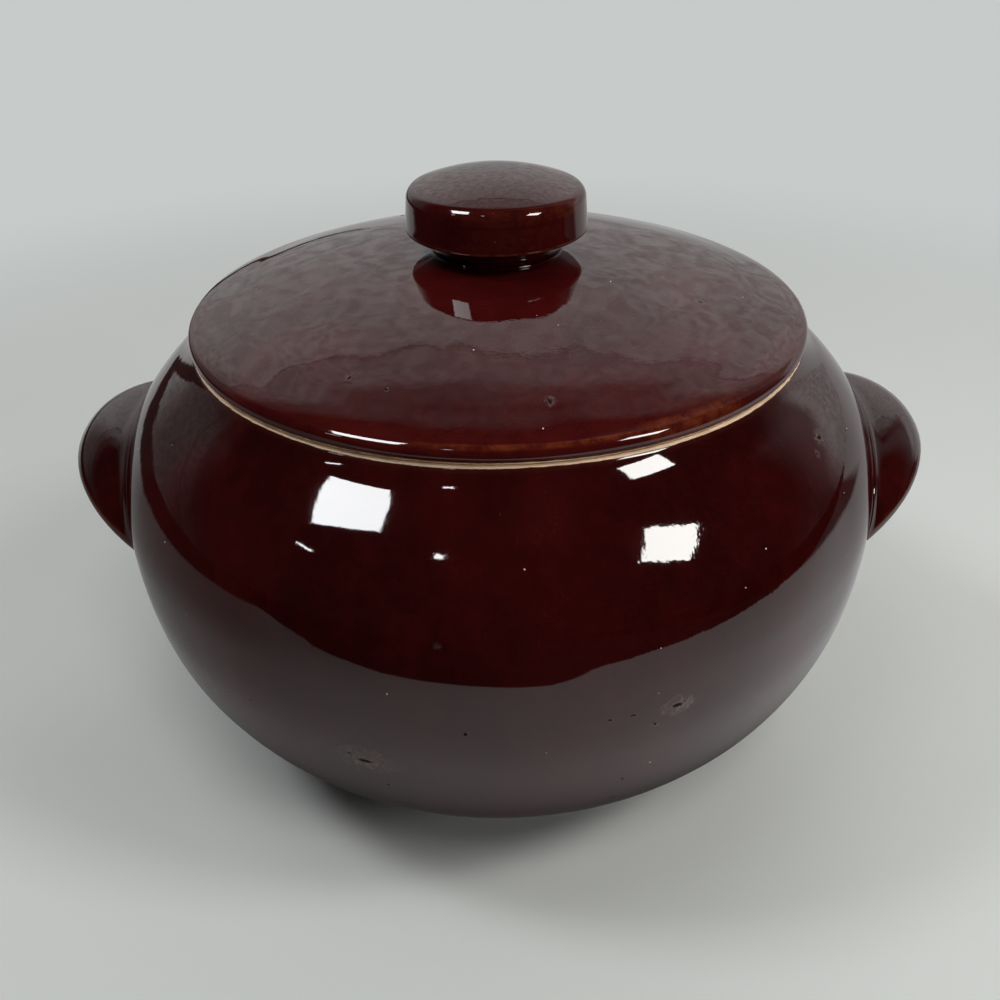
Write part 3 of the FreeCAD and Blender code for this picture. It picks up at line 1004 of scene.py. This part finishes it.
@dataclass
class Lid(TurnedPiece):
    """The domed lid, which sits on the rim and is kept in place by a ring inside the mouth."""

    name = "lid"
    part = Part.LID
    body = Body.COVER
    waviness = Waviness(0.55 * MM, 62.0 * MM)

    seat: float = 112.6 * MM
    nose_centre: float = 71.2 * MM
    nose: float = 2.2 * MM
    crown: float = 14.55 * MM
    fall: float = 9.93 * MM
    power: float = 3.25
    dome_reach: float = 72.1 * MM
    brow: float = 57.0 * MM
    flange: Point = (65.0 * MM, -6.0 * MM)
    flange_inner: float = 59.5 * MM
    ceiling: Point = (59.5 * MM, 2.70 * MM)
    ceiling_middle: float = 11.7 * MM
    top_steps: int = 96
    top_crowding: float = 0.9
    ceiling_steps: int = 36

    def top_at(self, radius: float) -> float:
        """Follow the top face, a shallow dome with a fuller brow.

        Args:
            radius: distance from the axis.

        Returns:
            The height above the seat.
        """
        share = max(radius, self.brow) / self.nose_centre
        height = self.crown - self.fall * share ** self.power
        if radius < self.brow:
            slope = self.fall * self.power * share ** (self.power - 1.0) / self.nose_centre
            height += slope * (self.brow ** 2 - radius ** 2) / (2.0 * self.brow)
        return height

    def outline(self) -> list[Point]:
        """Draw the lid.

        Returns:
            The half section, from the middle of the top to that of the underside.
        """
        section = HalfSection((0.0, self.seat + self.top_at(0.0)))
        for step in range(1, self.top_steps + 1):
            radius = self.dome_reach * (step / self.top_steps) ** self.top_crowding
            section.line((radius, self.seat + self.top_at(radius)))
        middle = (self.nose_centre, self.seat + self.nose)
        start = section.places[-1]
        turn = math.atan2(start[1] - middle[1], start[0] - middle[0])
        section.places[-1] = on_circle(middle, self.nose, turn)
        section.arc(middle, (self.nose_centre, self.seat), 24)
        outer, low = self.flange
        section.line((outer, self.seat), 6).corner(0.5 * MM)
        section.line((outer, self.seat + low), 6).corner(1.3 * MM)
        section.line((self.flange_inner, self.seat + low), 4).corner(1.3 * MM)
        section.line((self.flange_inner, self.seat + self.ceiling[1]), 8).corner(2.5 * MM)
        for step in range(1, self.ceiling_steps + 1):
            share = 1.0 - step / self.ceiling_steps
            rise = self.ceiling_middle + (self.ceiling[1] - self.ceiling_middle) * share ** 2
            section.line((self.ceiling[0] * share, self.seat + rise))
        return section.finished()

    def wavy_share(self, place: Vector) -> float:
        """Keep the waviness to the top face, fading out at the nose.

        Args:
            place: where on the lid.

        Returns:
            How far it applies, 0 to 1.
        """
        reach = math.hypot(place.x, place.y)
        if place.z - self.seat < self.top_at(min(reach, self.dome_reach)) - 1.0 * MM:
            return 0.0
        return smooth_step(71.5 * MM, 64.0 * MM, reach)

    def finish(self) -> GlazedFinish:
        """Thin the glaze at the edge, and leave bare clay at the seat and inside.

        Returns:
            The lid's finish.
        """
        flaws = [(8.9, 62.9, 1.1, 0.7, 0.45), (-29.3, 60.2, 0.9, 0.7, 0.3), (64.0, 50.0, 0.7, 0.7, 0.2),
                 (-151.0, 55.0, 1.7, 1.2, 0.5)]
        blisters = [Blister(turn, reach * MM, self.seat + self.top_at(reach * MM), width * MM,
                            1.2 * MM, tall * MM, halo) for turn, reach, width, tall, halo in flaws]
        thin = ((70.5, 73.0, 2.5, 0.04), (71.4, 73.0, 1.2, 0.42, 31.0, 12.0),
                (72.2, 72.7, 0.5, 0.45, 8.0, 26.0), (69.0, 71.0, 3.0, 0.10, 47.0, 30.0),
                (70.0, 72.0, 2.0, 0.05, -35.0, 40.0))
        bands = [ThinBand(Measure.RADIUS, low * MM, high * MM, fade * MM, *rest)
                 for low, high, fade, *rest in thin]
        edges = [GlazeEdge(self.seat + 0.9 * MM, -1.0, 0.25 * MM, 0.20 * MM)]
        # Painted light: the lid's glaze colours are lighter than the pot's, standing in for the stronger
        # light from above on its top.
        return GlazedFinish("lid_glaze", bands, edges, blisters, swell=0.38 * MM,
                            glaze=Glaze(deep=(0.0270, 0.0015, 0.0018, 1.0),
                                        streak=(0.0640, 0.0052, 0.0048, 1.0)))


@dataclass
class Knob(TurnedPiece):
    """The mushroom knob, drawn up from a narrow neck to a low domed head."""

    name = "lid_knob"
    part = Part.KNOB
    body = Body.COVER
    segments = 192
    waviness = Waviness(0.3 * MM, 24.0 * MM)

    seat: float = 129.7 * MM
    foot: float = 15.6 * MM
    flare: float = 1.6 * MM
    lift: float = 0.2 * MM
    bury: float = 1.0 * MM
    neck: float = 14.0 * MM
    head: Point = (21.5 * MM, 4.8 * MM)
    taper: float = 0.6 * MM
    rounding: float = 3.0 * MM
    crown: float = 18.2 * MM
    crown_radius: float = 54.0 * MM

    def outline(self) -> list[Point]:
        """Draw the knob.

        Returns:
            The half section, from the top of the crown to the middle of the foot.
        """
        centre = Vector((0.0, self.seat + self.crown - self.crown_radius))
        inset = self.head[0] - self.taper - self.rounding
        reach = self.crown_radius - self.rounding
        middle = Vector((inset, centre.y + math.sqrt(reach ** 2 - inset ** 2)))
        corner = Vector((self.head[0], self.seat + self.head[1]))
        gap = middle - corner
        turn = math.atan2(gap.y, gap.x) - math.asin(self.rounding / gap.length)
        way = Vector((math.cos(turn), math.sin(turn)))
        side = corner + math.sqrt(gap.length_squared - self.rounding ** 2) * way
        section = HalfSection((0.0, self.seat + self.crown))
        section.arc(tuple(centre), tuple(middle + self.rounding * (middle - centre).normalized()), 30)
        section.arc(tuple(middle), tuple(side), 20)
        section.line(tuple(corner), 16).corner(0.8 * MM)
        root = self.seat + self.lift
        section.line((self.neck, root + self.flare), 16)
        section.arc((self.foot, root + self.flare), (self.foot, root), 10)
        section.line((self.foot, self.seat - self.bury), 3)
        section.line((0.0, self.seat - self.bury), 6)
        return section.finished()

    def wavy_share(self, place: Vector) -> float:
        """Return how far the waviness applies: the head."""
        return smooth_step(2.0 * MM, 7.0 * MM, place.z - self.seat)

    def finish(self) -> GlazedFinish:
        """Break the glaze to brown round the shoulder and the lower edge.

        Returns:
            The knob's finish.
        """
        edge = self.seat + self.head[1]
        bands = [ThinBand(Measure.HEIGHT, self.seat + 11.8 * MM, self.seat + 13.6 * MM, 1.2 * MM, 0.15,
                          18.0, 65.0),
                 ThinBand(Measure.HEIGHT, self.seat + 6.5 * MM, self.seat + 9.5 * MM, 1.6 * MM, 0.07,
                          8.0, 40.0),
                 ThinBand(Measure.HEIGHT, edge - 0.1 * MM, edge + 0.3 * MM, 0.4 * MM, 0.6)]
        return GlazedFinish("knob_glaze", bands, swell=0.12 * MM,
                            glaze=Glaze(deep=(0.0210, 0.0013, 0.0016, 1.0),
                                        streak=(0.0560, 0.0046, 0.0046, 1.0)))


CapSection = list[tuple[float, Vector, Vector]]


@dataclass
class Lug:
    """A lug handle: part of a tilted cap, with a finger cove below and fillets at its root."""

    pot: Pot
    reach: float = 71.2 * MM
    height: float = 62.7 * MM
    tilt: float = math.radians(29.0)
    crown: float = 16.0 * MM
    crown_radius: float = 136.89 * MM
    shoulder: Point = (32.24 * MM, 12.15 * MM)
    side_centre: Point = (29.3 * MM, 0.0)
    side_end: Point = (41.8 * MM, 0.0)
    lip_centre: Point = (38.8 * MM, 0.0)
    lip_end: Point = (38.8 * MM, -3.0 * MM)
    land_end: Point = (36.5 * MM, -3.0 * MM)
    cove_centre: Point = (29.25 * MM, -10.99 * MM)
    cove_end: Point = (22.0 * MM, -3.0 * MM)
    fillet: float = 2.4 * MM
    bury: float = 1.0 * MM
    outer_steps: int = 120
    inner_steps: int = 8
    rings: int = 96

    def section(self) -> CapSection:
        """Walk the cap.

        Returns:
            Its half section as length walked, place and outward direction.
        """
        drawn = HalfSection((0.0, self.crown))
        drawn.arc((0.0, self.crown - self.crown_radius), self.shoulder, 120)
        drawn.arc(self.side_centre, self.side_end, 90)
        drawn.arc(self.lip_centre, self.lip_end, 30)
        drawn.line(self.land_end, 10)
        drawn.arc(self.cove_centre, self.cove_end, 60)
        drawn.line((6.0 * MM, self.cove_end[1]), 40)
        places = [Vector(place) for place in drawn.places]
        walked, total = [], 0.0
        for index, place in enumerate(places):
            before, after = places[max(0, index - 1)], places[min(len(places) - 1, index + 1)]
            total += (place - before).length
            along = (after - before).normalized()
            walked.append((total, place, Vector((-along.y, along.x))))
        return walked

    def _in_space(self, turn: float, flat: Vector, place: bool) -> Vector:
        """Carry a point or a direction of the half section to the right-hand lug.

        Args:
            turn: azimuth about the cap's axis.
            flat: radius and height in the section.
            place: whether it is a place, not a direction.

        Returns:
            The point or direction in the frame.
        """
        out = Vector((math.cos(self.tilt), 0.0, math.sin(self.tilt)))
        axis = Vector((-math.sin(self.tilt), 0.0, math.cos(self.tilt)))
        across = Vector((0.0, 1.0, 0.0))
        made = flat.x * (math.cos(turn) * out + math.sin(turn) * across) + flat.y * axis
        return made + Vector((self.reach, 0.0, self.height)) if place else made

    def _above_pot(self, place: Vector) -> float:
        """Return the height of a place above the pot's surface."""
        reach = math.hypot(place.x, place.y)
        return (reach - self.pot.radius_at(place.z)) / math.hypot(1.0, self.pot.slope_at(place.z))

    def _pot_normal(self, place: Vector) -> Vector:
        """Return the pot's outward direction nearest to a place."""
        flat = Vector((place.x, place.y, 0.0)).normalized()
        return (flat - Vector((0.0, 0.0, self.pot.slope_at(place.z)))).normalized()

    def strip(self, turn: float, section: CapSection) -> Optional[list[Vector]]:
        """Return one closed slice of the lug at an azimuth, or nothing where the cap is inside the pot.

        Args:
            turn: azimuth about the cap's axis.
            section: the cap's half section.

        Returns:
            The points: the outside from the upper root to the lower one, then back inside the wall.
        """
        heights = [self._above_pot(self._in_space(turn, place, True)) for _, place, _ in section]
        outside = [index for index, height in enumerate(heights) if height > 0.0]
        if len(outside) < 3:
            return None
        first, last = outside[0], outside[-1]

        def crossing(one: int, other: int) -> float:
            """Return the length walked at which the section meets the pot between two samples."""
            share = heights[one] / (heights[one] - heights[other])
            return section[one][0] + share * (section[other][0] - section[one][0])

        start, end = crossing(first - 1, first), crossing(last + 1, last)
        radius = min(self.fillet, 0.6 * max(heights))
        made: list[Vector] = []
        index = first - 1
        for step in range(self.outer_steps):
            share = (1.0 - math.cos(math.pi * step / (self.outer_steps - 1))) / 2.0
            length = start + (end - start) * share
            while index < len(section) - 2 and section[index + 1][0] < length:
                index += 1
            (low, one, first_way), (high, other, second_way) = section[index], section[index + 1]
            mix = (length - low) / max(high - low, 1e-9)
            place = self._in_space(turn, one.lerp(other, mix), True)
            way = self._in_space(turn, first_way.lerp(second_way, mix), False)
            above = max(0.0, self._above_pot(place))
            if above < radius:
                normal = self._pot_normal(place)
                sideways = (way - way.dot(normal) * normal).normalized()
                place = place + sideways * (radius - math.sqrt(radius ** 2 - (radius - above) ** 2))
            made.append(place)
        for end_point in (made[-1], made[0]):
            made.append(end_point - self._pot_normal(end_point) * (self._above_pot(end_point) + self.bury))
        lower, upper = made[-2], made.pop()
        return made + [lower.lerp(upper, step / (self.inner_steps - 1))
                       for step in range(1, self.inner_steps)]

    def widest_turn(self, section: CapSection) -> float:
        """Find where the cap sinks into the pot.

        Args:
            section: the cap's half section.

        Returns:
            The azimuth about its axis.
        """
        low, high = 0.0, math.pi / 2
        for _ in range(30):
            middle = (low + high) / 2
            low, high = (middle, high) if self.strip(middle, section) else (low, middle)
        return low

    def build(self, effects: Effects) -> list[Thing]:
        """Shape the right-hand lug from a globe and copy it to the left.

        Args:
            effects: the shared effects that their finishes draw on.

        Returns:
            Both lugs.
        """
        section = self.section()
        limit = self.widest_turn(section)
        around = self.outer_steps + self.inner_steps
        right = added(bpy.ops.mesh.primitive_uv_sphere_add, segments=around, ring_count=self.rings,
                      radius=1.0)
        slices = [self.strip(-math.cos(math.pi * ring / self.rings) * limit, section)
                  for ring in range(1, self.rings)]
        for vertex in right.data.vertices:
            level = math.acos(max(-1.0, min(1.0, vertex.co.z)))
            ring = round(level / math.pi * self.rings)
            if ring in (0, self.rings):
                near = slices[0] if ring == 0 else slices[-1]
                vertex.co = sum(near, Vector()) / len(near)
                continue
            segment = round(math.atan2(vertex.co.y, vertex.co.x) / FULL_TURN * around) % around
            vertex.co = slices[ring - 1][segment]
        with edit_mode():
            close_up(0.002 * MM)
        bpy.ops.object.duplicate(linked=False)
        left = bpy.context.active_object
        left.scale.x = -1.0
        bpy.ops.object.transform_apply(location=False, rotation=False, scale=True)
        with edit_mode():
            close_up()
        for obj, side, part in ((right, 1.0, Part.LUG_RIGHT), (left, -1.0, Part.LUG_LEFT)):
            finish = self.finish(side, part.value + "_glaze")
            settle(obj, part.value, finish.build(effects), part, Body.POT)
        return [right, left]

    def finish(self, side: float, name: str) -> GlazedFinish:
        """Return a lug's finish, broken to brown along its lip.

        Args:
            side: 1 for the right-hand lug and -1 for the left one.
            name: what the material is called.

        Returns:
            The finish, whose bands are measured about the cap's own axis.
        """
        bands = [ThinBand(Measure.HEIGHT, -2.6 * MM, 0.4 * MM, 1.2 * MM, 0.14)]
        return GlazedFinish(name, bands, centre=Vector((side * self.reach, 0.0, self.height)),
                            tilt=-side * self.tilt)


# ------------------------------------------------------------------ studio


@dataclass(frozen=True)
class Window:
    """A rectangular lamp; azimuth is from +Y towards +X, in degrees."""

    name: str
    azimuth: float
    elevation: float
    size: Point
    power: float
    tint: tuple[float, float, float] = (1.0, 1.0, 1.0)
    distance: float = 1.0
    glossy: bool = True
    diffuse: bool = True
    roll: float = 0.0


@dataclass(frozen=True)
class MirroredTable:
    """What the glaze mirrors of the table, in metres from the pot: a pale top with a dark room about it.

    Each pair is where a change starts and where it ends, and the shades are how bright it is."""

    front: Span = (-0.217, -0.267)
    front_step: Span = (0.03, 0.12)
    left_slope: float = 0.15
    right_slope: float = 0.62
    edge: float = 0.003
    right_side: Span = (0.44, 0.54)
    left_side: Span = (-0.55, -0.47)
    window_slope: float = -0.35
    across: Span = (-0.25, 0.12)
    shades: Span = (0.26, 0.72)
    pot_shadow: Span = (0.070, 0.125)

    def build(self, wires: Wires, place: Socket, away: Socket) -> Socket:
        """Return the mirrored brightness of the floor.

        Args:
            wires: the floor material's wires.
            place: position on the floor.
            away: distance from the pot's axis.

        Returns:
            The brightness.
        """
        parts = wires.axes(place)
        beside = wires.larger(wires.minus(parts["X"], 0.2), 0.0)
        front = wires.plus(wires.rise(parts["X"], *self.front_step, *self.front),
                           wires.times(beside, self.right_slope))
        front = wires.scaled(wires.calc("MINIMUM", wires.plus(parts["X"], 0.12), 0.0), self.left_slope,
                             front)
        wobble = wires.scaled(wires.grain(place, 16.0, 3.0), 0.022, -0.011)
        past = wires.plus(wires.minus(parts["Y"], front), wobble)
        table = wires.rise(past, -self.edge, self.edge, 0.02, 1.0)
        beyond = wires.scaled(parts["X"], self.window_slope, parts["Y"])
        right = wires.larger(wires.rise(parts["X"], *self.right_side, 1.0, 0.12),
                           wires.rise(beyond, 0.0, 0.10))
        leaves = wires.scaled(wires.grain(place, 30.0, 3.0, 0.7), 0.08, -0.04)
        left = wires.rise(wires.plus(parts["X"], leaves), *self.left_side, 0.05, 1.0)
        behind = wires.larger(wires.minus(parts["Y"], 0.03), 0.0)
        across = wires.scaled(behind, 2.0, parts["X"])
        # Painted shadow: the mirrored table is darker to the left, where the pot and the photographer shade
        # it, and darker close round the pot.
        level = wires.times(wires.rise(across, *self.across, *self.shades),
                            wires.rise(away, *self.pot_shadow, 0.10, 1.0),
                            wires.rise(beyond, -0.12, -0.03, 1.0, 0.66))
        return wires.times(table, right, wires.times(level, left))


@dataclass(frozen=True)
class MirroredRoom:
    """What the glaze mirrors of the room: a plastered wall behind, its ceiling, and a dark room in front.

    Angles are in degrees; azimuths are from +Y towards +X, and each pair is where a change starts and
    where it ends."""

    wall_ends: Span = (67.0, 46.0)
    wall_left: Span = (-56.0, -34.0)
    far_left: Span = (-82.0, -62.0)
    wall_shades: Span = (0.41, 0.80)
    line: float = 49.9
    line_bow: float = 0.43
    above_line: float = 0.60
    ceiling: Span = (56.0, 62.0)
    ceiling_end: Span = (64.0, 72.0)
    haze: float = 0.2
    darkest: float = 0.012

    def build(self, wires: Wires, direction: Socket) -> Socket:
        """Return the brightness that is mirrored from a direction.

        Args:
            wires: the world's wires.
            direction: where the mirrored ray goes.

        Returns:
            The brightness.
        """
        parts = wires.axes(direction)
        turn = wires.calc("ARCTAN2", parts["X"], parts["Y"])
        up = wires.calc("ARCSINE", parts["Z"])
        limit = wires.rise_degrees(up, 3, 26, *map(math.radians, self.wall_ends))
        right = wires.rise_degrees(wires.minus(turn, limit), -6, 7, 1.0, 0.06)
        left = wires.rise_degrees(turn, *self.wall_left, 0.30, 1.0)
        behind = wires.times(right, left, wires.rise_degrees(turn, *self.far_left, 0.2, 1.0))
        wobble = wires.scaled(wires.grain(direction, 15.0, 3.0), 0.07, -0.035)
        wavy = wires.scaled(wires.times(turn, turn), self.line_bow, wires.plus(up, wobble))
        rising = wires.rise_degrees(up, -4, 38, *self.wall_shades)
        lower = wires.rise_degrees(wavy, self.line - 0.4, self.line + 0.6, rising, self.above_line)
        drawn = wires.times(wires.rise_degrees(wavy, self.line - 0.6, self.line, 0.0, 0.60),
                            wires.rise_degrees(wavy, self.line, self.line + 0.7, 1.0, 0.0))
        ceiling = wires.times(wires.rise_degrees(wavy, *self.ceiling, 1.0, 0.42),
                              wires.rise_degrees(wavy, *self.ceiling_end, 1.0, 0.03))
        plaster = wires.rise(wires.grain(direction, 38.0, 5.0, 0.65), 0.32, 0.68, 0.72, 1.22)
        wall = wires.times(lower, wires.minus(1.0, drawn), wires.times(ceiling, plaster))
        haze = wires.times(wires.rise_degrees(turn, 45, 60),
                           wires.rise_degrees(turn, 61, 82, self.haze, 0.0), wires.rise_degrees(up, -3, 9))
        return wires.plus(wires.times(wall, behind), haze, self.darkest)


@dataclass
class Studio:
    """Floor, background, lamps and camera."""

    aim: Vector = field(default_factory=lambda: Vector((0.0, 0.0, 0.08)))
    floor_size: float = 7.0
    floor_colour: Colour = (0.66, 0.68, 0.655, 1.0)
    floor_roughness: float = 0.75
    floor_mirror: float = 0.2
    backdrop: Colour = (0.57, 0.595, 0.585, 1.0)
    windows: tuple[Window, ...] = (
        Window("window_left", -118.0, 52.5, (0.305, 0.344), 7.5, (0.96, 0.98, 1.0), roll=35.0,
               diffuse=False),
        Window("window_right", 127.6, 33.6, (0.248, 0.238), 4.3, (1.0, 0.99, 0.96), roll=-37.0,
               diffuse=False),
        Window("chink_left", -121.5, 29.3, (0.09, 0.015), 0.10, diffuse=False),
        Window("chink_front", -161.0, 44.0, (0.042, 0.03), 0.09, diffuse=False),
        Window("key", 111.0, 44.0, (0.20, 0.24), 3.1, (1.0, 0.99, 0.97), glossy=False),
        Window("key_low", 112.0, 16.0, (0.30, 0.16), 2.2, (1.0, 0.99, 0.97), glossy=False),
        Window("fill_left", -98.0, 55.0, (0.20, 0.22), 2.6, (0.97, 0.98, 1.0), glossy=False),
        Window("fill_front", 165.0, 58.0, (0.34, 0.26), 1.9, glossy=False),
        Window("fill_back", 30.0, 42.0, (0.40, 0.30), 0.9, glossy=False),
        Window("overhead", -130.0, 76.0, (0.40, 0.40), 1.1, (0.98, 1.0, 1.0), glossy=False))
    floor_fade: Span = (0.24, 0.58)
    table: MirroredTable = MirroredTable()
    room: MirroredRoom = MirroredRoom()
    lens: float = 36.0
    sensor: float = 36.0
    camera_place: tuple[float, float, float] = (0.0, -0.2311, 0.2081)
    camera_pitch: float = 0.5757
    camera_roll: float = -0.013

    def floor(self) -> Thing:
        """Lay a plain pale table that passes into the background further out; mirror rays see it glow with
        a painted reflection of the table and its shadows.

        Returns:
            The floor.
        """
        plane = added(bpy.ops.mesh.primitive_plane_add, size=self.floor_size, location=(0.0, 0.0, 0.0))
        plane.name = "floor"
        material = bpy.data.materials.new("plain_floor")
        material.use_nodes = True
        wires = Wires(material.node_tree)
        shader = material.node_tree.nodes["Principled BSDF"]
        wires.feed(shader, {"Base Color": self.floor_colour, "Roughness": self.floor_roughness,
                            "Specular IOR Level": self.floor_mirror})
        place = wires.node("ShaderNodeTexCoord").outputs["Object"]
        away = wires.vector("LENGTH", place)["Value"]
        # Painted reflection: mirror rays see the floor glow with the table's brightness, painted shadows
        # included.
        mirror_ray = wires.node("ShaderNodeLightPath").outputs["Is Glossy Ray"]
        seen = wires.either(wires.rise(away, *self.floor_fade), shader.outputs[0],
                            wires.glow(self.backdrop))
        mirrored = wires.glow(wires.grey(self.table.build(wires, place, away)))
        surface = wires.either(mirror_ray, seen, mirrored)
        wires.feed(material.node_tree.nodes["Material Output"], {"Surface": surface})
        plane.data.materials.append(material)
        return plane

    def surroundings(self) -> None:
        """Give the room: a pale wall behind, a dim ceiling, and a dark room in front."""
        world = bpy.data.worlds.new("room")
        bpy.context.scene.world = world
        world.use_nodes = True
        world.node_tree.nodes.clear()
        wires = Wires(world.node_tree)
        around = wires.grey(self.room.build(wires, wires.node("ShaderNodeTexCoord").outputs["Generated"]))
        seen = wires.node("ShaderNodeLightPath").outputs["Is Camera Ray"]
        colour = wires.blend(seen, around, self.backdrop)
        surface = wires.node("ShaderNodeBackground", {"Color": colour, "Strength": 1.0})
        wires.node("ShaderNodeOutputWorld", {"Surface": surface.outputs[0]})

    def lamp(self, window: Window) -> Thing:
        """Hang one lamp and turn it to the pot.

        Args:
            window: which lamp.

        Returns:
            The lamp's object.
        """
        turn, up = math.radians(window.azimuth), math.radians(window.elevation)
        out = Vector((math.sin(turn) * math.cos(up), math.cos(turn) * math.cos(up), math.sin(up)))
        place = self.aim + out * window.distance
        lamp = added(bpy.ops.object.light_add, type="AREA", location=place)
        lamp.name = lamp.data.name = window.name
        facing = (-out).to_track_quat("-Z", "Y") @ Quaternion((0.0, 0.0, 1.0), math.radians(window.roll))
        lamp.rotation_euler = facing.to_euler()
        lamp.data.shape = "RECTANGLE"
        lamp.data.size, lamp.data.size_y = window.size
        lamp.data.energy = window.power
        lamp.data.color = window.tint
        lamp.visible_glossy = window.glossy
        lamp.visible_diffuse = window.diffuse
        lamp.visible_camera = False
        return lamp

    def camera(self) -> Thing:
        """Set up the camera.

        Returns:
            The camera.
        """
        pitch = math.pi / 2 - self.camera_pitch
        camera = added(bpy.ops.object.camera_add, location=self.camera_place)
        look = Euler((pitch, 0.0, 0.0)).to_matrix() @ Matrix.Rotation(self.camera_roll, 3, "Z")
        camera.rotation_euler = look.to_euler()
        camera.data.lens = self.lens
        camera.data.sensor_width = self.sensor
        camera.data.clip_start = 0.01
        bpy.context.scene.camera = camera
        return camera

    def build(self) -> None:
        """Set up everything about the pot."""
        scene = bpy.context.scene
        scene.view_settings.view_transform = "Standard"
        scene.view_settings.look = "None"
        self.floor()
        self.surroundings()
        for window in self.windows:
            self.lamp(window)
        self.camera()


def main() -> None:
    """Build the pot, its lid and the studio."""
    logging.basicConfig(level=logging.INFO, format="%(name)s %(message)s")
    effects = Effects()
    pot = Pot()
    pot.build(effects)
    Lug(pot).build(effects)
    Lid().build(effects)
    Knob().build(effects)
    Studio().build()


if __name__ == "__main__":
    main()
